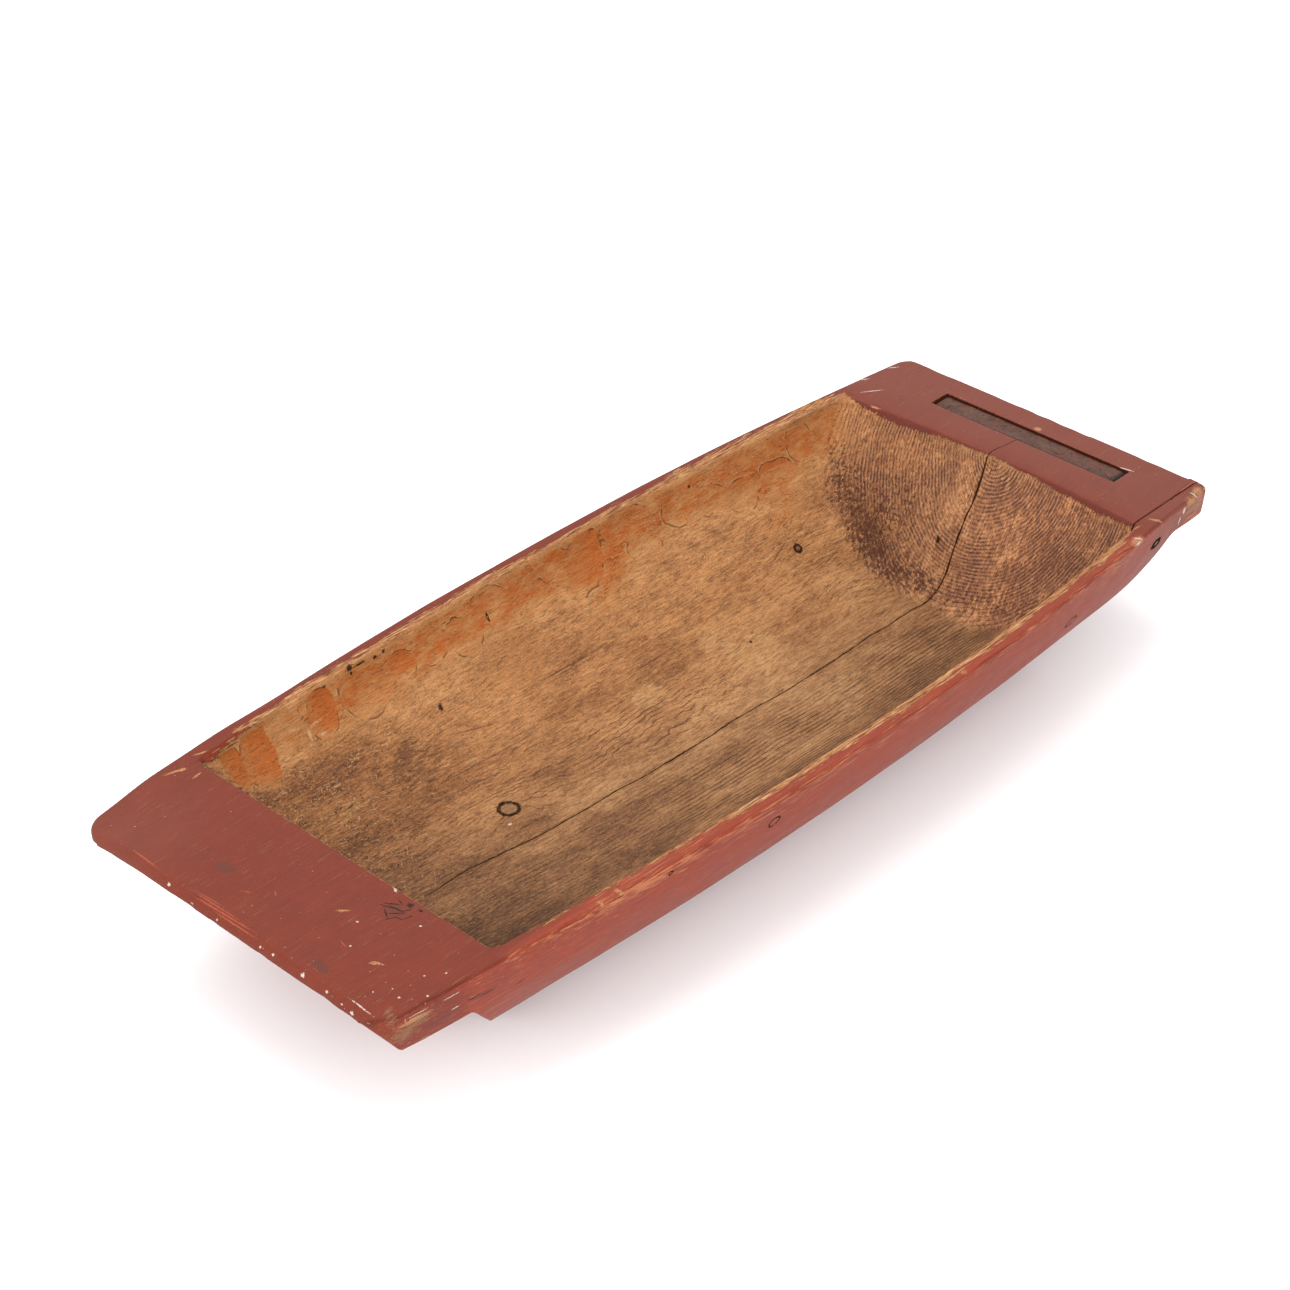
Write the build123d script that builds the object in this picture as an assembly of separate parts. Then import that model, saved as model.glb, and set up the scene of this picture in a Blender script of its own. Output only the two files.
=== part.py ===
from build123d import *
import math
import os

# A dough trough hewn from half a log: one long hollowed body with a flat ledge left
# at each end, and a short iron strap let into the top of one ledge and nailed down.
# Millimetres.  X runs along the trough, +X to the strapped end, +Z is up, and the
# origin is at the middle of the flat base that the trough rests on.

# ---- trough body -----------------------------------------------------------------
hollow_length = 700.0          # hollow, end arris to end arris at the rim
plain_ledge = 102.5            # ledge without the strap, along X
strapped_ledge = 84.5          # ledge with the strap, along X
height = 128.0                 # base to rim
middle_width = 356.5           # over the rim where the trough is widest
plain_end_width = 297.5        # across the plain ledge's end
strapped_end_width = 307.5     # across the strapped ledge's end
widest_offset = 18.7           # widest place, from the middle towards the strapped end
rim_thickness = 14.0           # side wall at the rim
side_inset = 94.0              # how far the base lies inside the rim on each side
side_swell = 0.122             # swell of the side per length of its chord, at the middle
ledge_side_swell = 0.157       # the same at the ledges, whose sides stand upright
plain_ledge_thickness = 35.0
strapped_ledge_thickness = 26.0
plain_ledge_overhang = 77.0    # from the plain end in to the root under the ledge
strapped_ledge_overhang = 44.0 # from the strapped end in to the root under the ledge
plain_end_rake = 36.5          # outer end wall from the vertical, degrees
strapped_end_rake = 42.0
root_radius = 12.0             # hollow corner under each ledge
heel_radius = 30.0             # where the end walls turn into the base
plain_tip_height = 7.0         # blunt face at the plain ledge's tip
plain_tip_bevel = 20.0         # bevel under the tip, along X
strapped_tip_height = 20.0
strapped_tip_bevel = 4.0
plain_corner_radius = 30.0     # plan corners of the plain ledge
strapped_corner_radius = 14.0  # plan corners of the strapped ledge
bevel_radius = 4.0             # where the tips' bevels run into the undersides
side_clearance = 0.4           # plan outline stands this far off the hewn sides

# ---- hollow ----------------------------------------------------------------------
floor_thickness = 18.0         # bottom under the deep half of the hollow
floor_rise = 27.0              # how much higher the floor lies at the plain end
floor_level_share = 0.35       # part of the hollow's length where the floor is level
floor_width = 94.0             # flat of the floor
hollow_swell = 0.149           # swell of the hollow's sides per length of their chord
hollow_plain_rake = 33.0       # inner end walls from the vertical, degrees
hollow_strapped_rake = 32.7
hollow_corner_radius = 16.0    # where the end walls turn into the sides and floor

# ---- iron strap ------------------------------------------------------------------
strap_length = 181.0           # along Y
strap_width = 19.0             # along X
strap_thickness = 3.0
strap_recess = 1.5             # strap's face below the ledge's face
strap_from_end = 36.8          # strapped end of the trough to the strap's middle line
strap_offset = -4.2            # strap's middle along Y
strap_corner_radius = 1.0
mortise_side_gap = 0.5         # mortise wider than the strap, each side
mortise_end_gap = 1.8          # mortise longer than the strap, each end

# ---- hand-made nails -------------------------------------------------------------
nail_head_diameter = 8.4
nail_head_height = 1.3
nail_head_edge = 0.5           # height of the head's rim
nail_crown_diameter = 4.6      # flat that the hammer left
nail_shank_width = 3.6         # square shank under the head
nail_point_width = 1.2         # square shank at its point
nail_length = 18.0             # under the head
nail_clearance = 0.1           # hole larger than the shank, each side
# Each nail: the strap's end it is measured from, how far in from that end, and how far
# across X from the strap's middle line.
nail_places = [(1, 8.5, -4.0), (1, 61.5, 3.5), (-1, 57.5, -1.0), (-1, 8.0, -2.0)]


length = plain_ledge + hollow_length + strapped_ledge
plain_end = -length / 2
strapped_end = length / 2
hollow_from = plain_end + plain_ledge
hollow_to = strapped_end - strapped_ledge
over = 6.0                     # how far tool bodies run past what they cut


def half_width(x):
    """Half the width over the rim at x: a gentle bow from end to end."""
    end = plain_end if x < widest_offset else strapped_end
    end_half = (plain_end_width if x < widest_offset else strapped_end_width) / 2
    share = (x - widest_offset) / (end - widest_offset)
    return middle_width / 2 - (middle_width / 2 - end_half) * share**2


def swell(x):
    """Swell of the outer side at x, growing towards the upright ledge sides."""
    end = plain_end if x < widest_offset else strapped_end
    share = (x - widest_offset) / (end - widest_offset)
    return side_swell + (ledge_side_swell - side_swell) * share**4


def floor_level(x):
    """Height of the hollow's floor at x: level in the deep half, then rising."""
    share = max(0.0, (hollow_to - x) / hollow_length - floor_level_share)
    return floor_thickness + floor_rise * (share / (1 - floor_level_share))**1.3


def trough_section(x, top_half, top, low_half, low, side_swelling, reach=0.0):
    """Face across the trough at x: level top, swelling sides, flat bottom.

    The sides are arcs from the top to the low corners, carried on below by reach.
    """
    chord = Vector(0, low_half - top_half, low - top)
    swelling = chord.length * side_swelling
    radius = (chord.length**2 / 4 + swelling**2) / (2 * swelling)
    outward = Vector(0, -chord.Z, chord.Y).normalized()
    middle = Vector(x, (top_half + low_half) / 2, (top + low) / 2)
    centre = middle - outward * (radius - swelling)

    def on_side(z, sign):
        """Point of the side at height z, on the left (1) or the right (-1)."""
        return Vector(x, sign * (centre.Y + math.sqrt(radius**2 - (z - centre.Z)**2)), z)

    bottom = low - reach
    half_way = (top + bottom) / 2
    lid_left = Vector(x, top_half, top + over)
    lid_right = Vector(x, -top_half, top + over)
    edges = [
        Edge.make_line(lid_left, on_side(top, 1)),
        Edge.make_three_point_arc(on_side(top, 1), on_side(half_way, 1), on_side(bottom, 1)),
        Edge.make_line(on_side(bottom, 1), on_side(bottom, -1)),
        Edge.make_three_point_arc(
            on_side(bottom, -1), on_side(half_way, -1), on_side(top, -1)
        ),
        Edge.make_line(on_side(top, -1), lid_right),
        Edge.make_line(lid_right, lid_left),
    ]
    return Face(Wire(edges))


def stations(first, last, count):
    return [first + (last - first) * i / (count - 1) for i in range(count)]


# ---- outer form: the rounded log, cut to the side view ---------------------------
log = loft([
    trough_section(
        x, half_width(x), height, half_width(x) - side_inset, 0.0, swell(x), over
    )
    for x in stations(plain_end - over, strapped_end + over, 9)
])

plain_root = plain_end + plain_ledge_overhang
plain_under = height - plain_ledge_thickness
plain_heel = plain_root + plain_under * math.tan(math.radians(plain_end_rake))
strapped_root = strapped_end - strapped_ledge_overhang
strapped_under = height - strapped_ledge_thickness
strapped_heel = strapped_root - strapped_under * math.tan(math.radians(strapped_end_rake))
side_points = [
    (plain_end - over, height),
    (strapped_end + over, height),
    (strapped_end + over, height - strapped_tip_height),
    (strapped_end, height - strapped_tip_height),
    (strapped_end - strapped_tip_bevel, strapped_under),
    (strapped_root, strapped_under),
    (strapped_heel, 0.0),
    (plain_heel, 0.0),
    (plain_root, plain_under),
    (plain_end + plain_tip_bevel, plain_under),
    (plain_end, height - plain_tip_height),
    (plain_end - over, height - plain_tip_height),
]
side_view = make_face(Polyline(*side_points, close=True))


def corners_at(face, points):
    spots = [Vector(x, z, 0) for x, z in points]
    return [v for v in face.vertices() if min((Vector(v) - s).length for s in spots) < 0.01]


side_view = fillet(
    corners_at(side_view, [(strapped_root, strapped_under), (plain_root, plain_under)]),
    root_radius,
)
side_view = fillet(
    corners_at(side_view, [(strapped_heel, 0.0), (plain_heel, 0.0)]), heel_radius
)
side_view = fillet(
    corners_at(side_view, [
        (strapped_end - strapped_tip_bevel, strapped_under),
        (plain_end + plain_tip_bevel, plain_under),
    ]),
    bevel_radius,
)
side_slab = extrude(Plane.XZ * side_view, middle_width, both=True)
trough_body = log & side_slab

# Plan view: the two ends with their rounded corners, clear of the sides elsewhere.
def side_line(sign):
    return Spline(*[
        (x, sign * (half_width(x) + side_clearance))
        for x in stations(plain_end, strapped_end, 9)
    ])


plan_view = make_face(
    side_line(1) + side_line(-1)
    + Line((plain_end, -half_width(plain_end) - side_clearance),
           (plain_end, half_width(plain_end) + side_clearance))
    + Line((strapped_end, -half_width(strapped_end) - side_clearance),
           (strapped_end, half_width(strapped_end) + side_clearance))
)
plan_view = fillet(plan_view.vertices().group_by(Axis.X)[0], plain_corner_radius)
plan_view = fillet(plan_view.vertices().group_by(Axis.X)[-1], strapped_corner_radius)
plan_slab = Pos(0, 0, -over) * extrude(plan_view, height + 2 * over)
trough_body = trough_body & plan_slab

# ---- hollow ----------------------------------------------------------------------
channel = loft([
    trough_section(
        x, half_width(x) - rim_thickness, height, floor_width / 2, floor_level(x),
        hollow_swell,
    )
    for x in stations(hollow_from - over, hollow_to + over, 7)
])
deep = height + over
plain_run = deep * math.tan(math.radians(hollow_plain_rake))
strapped_run = deep * math.tan(math.radians(hollow_strapped_rake))
lead = over / deep
end_walls = make_face(Polyline(
    (hollow_from - lead * plain_run, height + over),
    (hollow_to + lead * strapped_run, height + over),
    (hollow_to - (1 - lead) * strapped_run, 0.0),
    (hollow_from + (1 - lead) * plain_run, 0.0),
    close=True,
))
end_slab = extrude(Plane.XZ * end_walls, middle_width, both=True)
hollow = channel & end_slab
ends = [
    e for e in hollow.edges()
    if e.center().Z < height - 1.0
    and (e.center().X < hollow_from + plain_run and e.bounding_box().size.X < plain_run
         or e.center().X > hollow_to - strapped_run and e.bounding_box().size.X < strapped_run)
]
hollow = fillet(ends, hollow_corner_radius)
trough_body = trough_body - hollow

# ---- iron strap in its mortise ---------------------------------------------------
strap_x = strapped_end - strap_from_end
strap_top = height - strap_recess
strap_bottom = strap_top - strap_thickness
mortise = Pos(strap_x, strap_offset, strap_bottom) * Box(
    strap_width + 2 * mortise_side_gap,
    strap_length + 2 * mortise_end_gap,
    strap_thickness + strap_recess + over,
    align=(Align.CENTER, Align.CENTER, Align.MIN),
)
trough_body = trough_body - mortise
iron_strap = Pos(strap_x, strap_offset, strap_bottom) * Box(
    strap_width, strap_length, strap_thickness,
    align=(Align.CENTER, Align.CENTER, Align.MIN),
)
iron_strap = fillet(iron_strap.edges().filter_by(Axis.Z), strap_corner_radius)


# ---- nails -----------------------------------------------------------------------
def shank(clearance):
    """Square tapered shank hanging down from the origin, grown by the clearance."""
    wide = nail_shank_width + 2 * clearance
    narrow = nail_point_width + 2 * clearance
    return loft([
        Rectangle(wide, wide).face(),
        Pos(0, 0, -nail_length - clearance) * Rectangle(narrow, narrow).face(),
    ])


def nail_head():
    """Low crowned head that sits on the strap."""
    edge = Cylinder(
        nail_head_diameter / 2, nail_head_edge,
        align=(Align.CENTER, Align.CENTER, Align.MIN),
    )
    crown = Pos(0, 0, nail_head_edge) * Cone(
        nail_head_diameter / 2, nail_crown_diameter / 2,
        nail_head_height - nail_head_edge,
        align=(Align.CENTER, Align.CENTER, Align.MIN),
    )
    return edge + crown


nails = []
for side, inward, across in nail_places:
    along = side * (strap_length / 2 - inward)
    place = Pos(strap_x + across, strap_offset + along, strap_top)
    hole = place * shank(nail_clearance)
    iron_strap = iron_strap - hole
    trough_body = trough_body - hole
    nails.append(place * (nail_head() + shank(0.0)))

os.makedirs("parts", exist_ok=True)
export_step(trough_body, "parts/trough_body.step")
export_step(iron_strap, "parts/iron_strap.step")
for number, nail in enumerate(nails, start=1):
    export_step(nail, f"parts/strap_nail_{number}.step")
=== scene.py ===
import math
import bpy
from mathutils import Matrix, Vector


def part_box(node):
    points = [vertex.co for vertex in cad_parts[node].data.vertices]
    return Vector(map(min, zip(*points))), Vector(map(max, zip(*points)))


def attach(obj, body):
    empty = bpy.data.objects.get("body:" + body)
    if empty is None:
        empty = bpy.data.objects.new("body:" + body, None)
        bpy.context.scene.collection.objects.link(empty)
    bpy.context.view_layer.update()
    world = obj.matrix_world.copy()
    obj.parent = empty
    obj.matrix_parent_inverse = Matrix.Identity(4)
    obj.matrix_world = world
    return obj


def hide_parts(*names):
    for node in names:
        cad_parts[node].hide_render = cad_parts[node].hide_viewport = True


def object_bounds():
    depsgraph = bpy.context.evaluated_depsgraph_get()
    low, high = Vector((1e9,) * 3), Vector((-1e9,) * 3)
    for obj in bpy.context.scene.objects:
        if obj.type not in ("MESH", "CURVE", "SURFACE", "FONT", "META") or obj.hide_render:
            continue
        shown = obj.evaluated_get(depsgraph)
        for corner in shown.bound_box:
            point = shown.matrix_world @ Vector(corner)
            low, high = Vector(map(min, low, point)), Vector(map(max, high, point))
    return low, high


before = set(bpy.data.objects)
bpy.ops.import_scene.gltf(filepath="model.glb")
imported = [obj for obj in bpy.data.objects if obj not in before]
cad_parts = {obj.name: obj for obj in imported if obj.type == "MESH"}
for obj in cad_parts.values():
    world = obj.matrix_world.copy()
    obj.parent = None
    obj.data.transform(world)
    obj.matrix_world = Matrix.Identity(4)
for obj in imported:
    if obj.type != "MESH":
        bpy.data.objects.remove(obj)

from types import SimpleNamespace

import bpy
import numpy as np
from mathutils import Matrix, Vector

cad_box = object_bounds()


# A dough trough hewn from one log: a worn body, an iron strap let into its far ledge and
# four nails. The body's mesh is a row of rings along X, each ring going from under the
# middle out, up the left side, over the rim, across the hollow and back on the right.

# ======== sizes, in mm
# The same frame as the CAD: X along the trough, +X the strapped end, +Y the left side,
# Z up from the base. "Near" is the plain end, towards -X, and "far" the strapped one.
def in_mm(corners):
    """A box of the frame in mm."""
    return [[round(1000 * value, 2) for value in corner] for corner in corners]


def middle(low, high):
    return [round((a + b) / 2, 2) for a, b in zip(low, high)]


(PLAIN_END, _, _), (STRAPPED_END, MIDDLE_HALF, HEIGHT) = in_mm(cad_box)
WIDEST = 18.7                                  # X where the trough is widest
PLAIN_HALF, STRAPPED_HALF = 148.75, 153.75     # half widths over the rim at the ends
PLAIN_CORNERS, STRAPPED_CORNERS = (17.0, 20.0), (13.0, 6.0)      # plan radii, left, right
RIM = 14.0                                     # thickness of the side walls' tops
SIDE_INSET = 94.0                              # how far the base lies in from the rim
SWELL, END_SWELL = 0.122, 0.035                # rise of the sides' arcs per chord
HOLLOW_FROM, HOLLOW_TO = -341.0, 359.0
HOLLOW_SWELL = 0.149
NEAR_EDGE = HOLLOW_FROM - 3.5                  # the hollow's top edge on the plain ledge
FAR_EDGE, FAR_BOW = HOLLOW_TO + 5.0, 8.0       # and on the strapped one, which bows out
FLOOR_HALF = 47.0
FLOOR_THICK, FLOOR_RISE, FLOOR_FLAT = 18.0, 27.0, 0.35     # flat as a share of the length
IN_PLAIN_RAKE, IN_STRAPPED_RAKE = math.radians(33.0), math.radians(32.7)
PLAIN_ROOT, STRAPPED_ROOT = -366.5, 399.5      # where the raked ends meet the ledges
PLAIN_UNDER, STRAPPED_UNDER = 93.0, 102.0      # undersides of the ledges
PLAIN_RAKE, STRAPPED_RAKE = math.radians(36.5), math.radians(42.0)
PLAIN_TIP, STRAPPED_TIP = (121.0, 1.4), (108.0, 1.5)       # low edge and bevel's slope
PLAIN_ROUND, STRAPPED_ROUND = 7.5, 3.0         # worn top arrises of the tips
TOP_ARRIS, LOW_ARRIS, INNER_ARRIS = 3.4, 2.6, 2.2
BASE_FROM, BASE_TO = -300.0, 309.0

STRAP_LOW, STRAP_HIGH = in_mm(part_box("iron_strap"))
STRAP_X, STRAP_Y, _ = middle(STRAP_LOW, STRAP_HIGH)
STRAP_WIDTH, STRAP_LENGTH, _ = (round(b - a, 2) for a, b in zip(STRAP_LOW, STRAP_HIGH))
STRAP_BOTTOM, STRAP_TOP = STRAP_LOW[2], STRAP_HIGH[2]
NAILS = [middle(*in_mm(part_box(f"strap_nail_{number}")))[:2] for number in (1, 2, 3, 4)]
MORTISE_HALF = (10.0, 92.3)
MORTISE_X, MORTISE_Y = ((at - half, at + half)
                        for at, half in zip((STRAP_X, STRAP_Y), MORTISE_HALF))
SPLIT_Y, SPLIT_FROM, SPLIT_TO = -145.2, 351, 438      # a split along the strapped ledge

# Columns of each ring, on each side of the middle, and over the hollow's floor.
UNDER_COLUMNS, SIDE_COLUMNS, RIM_COLUMNS, WALL_COLUMNS, FLOOR_COLUMNS = 13, 27, 9, 46, 38

# Where the long crack runs: x, y on the hollow's floor and up the strapped end's wall.
CRACK = [
    (-262, 6), (-222, 9), (-185, 6), (-159, 4.5), (-115, 3.5), (-72, 4.5), (-40, 3.5),
    (30, 5), (63, 7), (107, 5), (178, 4.5), (225, 5.5), (274, 4), (291, 1), (309, -2),
    (330, 0.5), (345, 0), (360, 3), (370, 3), (400, -1),
]
# Half width of the crack at x: a hairline on the floor, open on the end wall.
CRACK_WIDTH = [
    (-268, 0), (-250, 0.28), (-140, 0.46), (100, 0.48), (270, 0.44), (296, 0.46),
    (325, 0.6), (352, 0.8), (360, 0.6), (362, 0.14), (398, 0.12), (401, 0),
]


# ======== helpers
def smin(a, b, k):
    return np.minimum(a, b) - np.maximum(k - np.abs(a - b), 0.0) ** 2 / (4 * k)


def smax(a, b, k):
    return np.maximum(a, b) + np.maximum(k - np.abs(a - b), 0.0) ** 2 / (4 * k)


def step(low, high, v):
    """Smooth step from 0 at low to 1 at high, which may be the smaller of the two."""
    t = np.clip((v - low) / (high - low), 0.0, 1.0)
    return t * t * (3 - 2 * t)


def above(v):
    return np.maximum(0, v)


def through(at, points):
    """The line through a list of (place, value) points, read at a place."""
    return np.interp(at, *zip(*points))


def noise(x, y, z, cell, seed):
    """Smooth seeded noise from -1 to 1; cell is its size along each axis in mm."""
    table = np.random.default_rng(seed).uniform(-1, 1, 4096)
    q = [np.asarray(v, float) / c for v, c in zip((x, y, z), cell)]
    base = [np.floor(v).astype(np.int64) for v in q]
    share = [v - b for v, b in zip(q, base)]
    share = [s * s * (3 - 2 * s) for s in share]
    total = 0.0
    for corner in range(8):
        bits = [(corner >> axis) & 1 for axis in range(3)]
        key = 0
        weight = 1.0
        for b, s, bit, prime in zip(base, share, bits, (73856093, 19349663, 83492791)):
            key = key ^ ((b + bit) * prime)
            weight = weight * (s if bit else 1 - s)
        total = total + table[key & 4095] * weight
    return total


def blob(x, y, cx, cy, rx, ry, turn=0.0):
    """Soft-edged oval from 0 outside to 1 in its middle."""
    c, s = math.cos(math.radians(turn)), math.sin(math.radians(turn))
    u, v = (x - cx) * c + (y - cy) * s, -(x - cx) * s + (y - cy) * c
    return np.exp(-((u / rx) ** 2 + (v / ry) ** 2))


def blobs(x, y, marks):
    """Sum of soft ovals, each given as its weight, middle, half sizes and turn."""
    return sum(weight * blob(x, y, *oval) for weight, *oval in marks)


# ======== form
def bow(x):
    """Half width over the rim, without the rounded plan corners."""
    plain = x < WIDEST
    end = np.where(plain, PLAIN_END, STRAPPED_END)
    half = np.where(plain, PLAIN_HALF, STRAPPED_HALF)
    return MIDDLE_HALF - (MIDDLE_HALF - half) * ((x - WIDEST) / (end - WIDEST)) ** 2


def rounded(distance, radius):
    """How far a rounded corner stands back at a distance from its end."""
    short = np.clip(radius - distance, 0.0, radius)
    return radius - np.sqrt(radius**2 - short**2)


def corner_inset(x, side):
    """How far the rounded plan corners stand back, on the left (1) or right (-1)."""
    plain, strapped = (np.where(side > 0, *radii) for radii in (PLAIN_CORNERS, STRAPPED_CORNERS))
    return rounded(x - PLAIN_END, plain) + rounded(STRAPPED_END - x, strapped)


def tip_drop(x):
    """How far the worn ends of the ledges fall below the rim's level."""
    return rounded(x - PLAIN_END, PLAIN_ROUND) + rounded(STRAPPED_END - x, STRAPPED_ROUND)


def floor_level(x):
    share = np.maximum(0.0, (HOLLOW_TO - x) / (HOLLOW_TO - HOLLOW_FROM) - FLOOR_FLAT)
    return FLOOR_THICK + FLOOR_RISE * (share / (1 - FLOOR_FLAT)) ** 1.3


def circle(top_half, top, low_half, low, swelling):
    """Centre and radius of a swelling side's arc, from its top to its low corner."""
    dy, dz = low_half - top_half, low - top
    chord = np.hypot(dy, dz)
    rise = chord * swelling
    radius = (chord**2 / 4 + rise**2) / (2 * rise)
    back = radius - rise
    centre_y = (top_half + low_half) / 2 + dz / chord * back
    centre_z = (top + low) / 2 - dy / chord * back
    return centre_y, centre_z, radius


def outer_circle(x):
    half = bow(x)
    end = np.where(x < WIDEST, PLAIN_END, STRAPPED_END)
    swell = SWELL + END_SWELL * ((x - WIDEST) / (end - WIDEST)) ** 4
    return circle(half, HEIGHT, half - SIDE_INSET, 0.0, swell)


def hollow_circle(x):
    x = np.clip(x, HOLLOW_FROM, HOLLOW_TO)
    return circle(bow(x) - RIM, HEIGHT, FLOOR_HALF, floor_level(x), HOLLOW_SWELL)


def underside(x):
    """Height of the underside along the middle line: ledges, raked ends and base."""
    ends = []
    for tip, ledge, out, rise, rake, tip_blend, blend in (
        (PLAIN_TIP, PLAIN_UNDER, x - PLAIN_END, x - PLAIN_ROOT, PLAIN_RAKE, 5.0, 3.5),
        (STRAPPED_TIP, STRAPPED_UNDER, STRAPPED_END - x, STRAPPED_ROOT - x, STRAPPED_RAKE, 4.0, 5.0),
    ):
        under = smax(tip[0] - tip[1] * out, ledge, tip_blend)
        ends.append(smin(under, ledge - rise / math.tan(rake), blend))
    low = smax(np.where(x < 0, *ends), 0.0, 14.0)
    return np.where(np.abs(x) < 240, 0.0, np.maximum(low - 0.02, 0.0))


def rim_level(x, y):
    """Top of the ledges and rim: the rim sags a little, one ledge corner droops."""
    along = np.clip((x - 9.0) / 352.0, -1, 1)
    sag = 2.4 * (1 - along**2) * step(100, 140, -y)
    droop = 3.8 * step(80, 150, y) * step(-375, -440, x)
    droop = droop + 1.6 * step(80, 150, -y) * step(-400, -440, x)
    return HEIGHT - tip_drop(x) - sag - droop


def far_edge(y):
    return FAR_EDGE - FAR_BOW * (y / 150.0) ** 2


def hollow_level(x, y):
    """Height of the hollow's surface, carried on above the rim outside it."""
    far_x, turn = far_edge(y), 16.0 + 26.0 * step(70, 140, y)
    y = np.abs(y)
    centre_y, centre_z, radius = hollow_circle(x)
    inside = np.clip(y, FLOOR_HALF, centre_y + 0.985 * radius)
    wall = centre_z - np.sqrt(np.maximum(radius**2 - (inside - centre_y) ** 2, 0.0))
    wall = wall + 4.0 * np.maximum(y - inside, 0.0)
    near = HEIGHT - (x - NEAR_EDGE) / math.tan(IN_PLAIN_RAKE)
    far = HEIGHT - (far_x - x) / math.tan(IN_STRAPPED_RAKE)
    return smax(smax(wall, near, 15.0), far, turn)


# ======== rings
def along_stations():
    """X of each ring of the body's mesh, closer where the form turns quickly."""
    near = [PLAIN_END + 30 * (1 - math.cos(a)) for a in np.linspace(0, 1.25, 15)]
    far = [STRAPPED_END - 14 * (1 - math.cos(a)) for a in np.linspace(0, 1.35, 10)][::-1]
    gap = 0.15
    runs = [(near[-1], -347, 27), (-347, -335, 9), (-335, -275, 38), (-275, 292, 190),
            (292, 352, 42), (352, 364, 10), (364, MORTISE_X[0] - gap, 13)]
    xs = list(near)
    for first, last, count in runs:
        xs += list(np.linspace(first, last, count))[1:]
    xs += list(np.linspace(MORTISE_X[0] + gap, MORTISE_X[1] - gap, 8))
    xs += list(np.linspace(MORTISE_X[1] + gap, far[0], 6)) + far[1:]
    return np.array(xs)


def shares(count):
    """Shares from 0 to 1, as a column that scales a row of stations."""
    return np.linspace(0, 1, count).reshape(-1, 1)


def bend(a, c, b, count):
    """Points of a rounded corner from a to b whose sharp corner is c, ends left out."""
    t = np.linspace(0, 1, count + 2)[1:-1].reshape(-1, 1, 1)
    return (1 - t) ** 2 * a + 2 * t * (1 - t) * c + t**2 * b


def outer_half(x, inset):
    """From under the middle out, up the side and round its top arris: y and z of each
    column at every station, and the y where the flat top starts."""
    cy, cz, radius = outer_circle(x)
    top, low = HEIGHT - tip_drop(x), underside(x)
    top_round = np.minimum(TOP_ARRIS, 0.4 * (top - low))
    low_round = np.minimum(LOW_ARRIS, 0.4 * (top - low))
    width = bow(x) - inset
    low_corner = np.stack([cy + np.sqrt(radius**2 - (low - cz) ** 2) - inset, low])
    under = shares(UNDER_COLUMNS) * (low_corner[0] - low_round)
    under = np.stack([under, np.broadcast_to(low, under.shape)], 1)
    start, end = (np.arcsin(np.clip((level - cz) / radius, -1, 1))
                  for level in (low + low_round, top - top_round))
    rise = start + (end - start) * shares(SIDE_COLUMNS)
    up = np.stack([cy + radius * np.cos(rise) - inset, cz + radius * np.sin(rise)], 1)
    over = width - top_round
    low_turn = bend(under[-1], low_corner, up[0], 3)
    top_turn = bend(up[-1], np.stack([width, top]), np.stack([over, top]), 3)
    return np.concatenate([under, low_turn, up, top_turn]), over


def top_half(x, inset, over):
    """Y of the columns from the top arris over the rim and down to the floor's edge."""
    cy, cz, radius = hollow_circle(x)
    clipped = np.clip(x, HOLLOW_FROM, HOLLOW_TO)
    wall_top, edge = bow(clipped) - RIM, bow(x) - RIM
    start = np.arctan2(HEIGHT - cz, wall_top - cy)
    end = np.arctan2(floor_level(clipped) - cz, FLOOR_HALF - cy)
    wall = cy + radius * np.cos(start + (end - start) * shares(WALL_COLUMNS))
    wall = wall + (edge - wall_top) * (wall - FLOOR_HALF) / (wall[0] - FLOOR_HALF)
    # the outer columns draw in beside the rounded plan corners
    limit, kept = edge - inset, 90.0
    wall = np.where(wall > kept, kept + (wall - kept) * (limit - kept) / (edge - kept), wall)
    rim = over + (limit - over) * shares(RIM_COLUMNS)[:-1]
    return np.concatenate([rim, wall])


def build_rings(x):
    """Y and z of each ring (stations, columns), and which columns are on top. The
    height of those comes later."""
    halves = []
    for hand in (1, -1):
        inset = corner_inset(x, hand)
        outer, over = outer_half(x, inset)
        sheet = top_half(x, inset, over)
        flat = np.stack([sheet, np.zeros_like(sheet)], 1)
        halves.append(np.concatenate([outer, flat]))
    left, right = halves
    right = right[::-1][:-1] * np.array([-1, 1]).reshape(1, 2, 1)
    floor = np.linspace(FLOOR_HALF, -FLOOR_HALF, FLOOR_COLUMNS)[1:-1]
    floor = floor.reshape(-1, 1) * np.ones_like(x)
    floor = np.stack([floor, np.zeros_like(floor)], 1)
    ring = np.concatenate([left, floor, right])
    first = len(left) - len(sheet)
    last = len(left) + len(floor) + len(sheet)
    return ring[:, 0].T, ring[:, 1].T, slice(first, last)


def crack_y(x):
    return through(x, CRACK) + noise(x, 0, 0, (7, 1, 1), 41) * 0.35


def crack_width(x):
    return through(x, CRACK_WIDTH) * (1 + 0.45 * noise(x, 0, 0, (5, 1, 1), 42))


def pull(y, columns, targets, weight, reach=8):
    """Slides a few neighbouring columns sideways so they follow a line in the wood."""
    known = [columns[0] - reach, *columns, columns[-1] + reach]
    index = np.arange(y.shape[1])
    for row in np.flatnonzero(weight > 0):
        shifts = [t[row] - y[row, c] for c, t in zip(columns, targets)]
        y[row] += np.interp(index, known, [0, *shifts, 0]) * weight[row]


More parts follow.
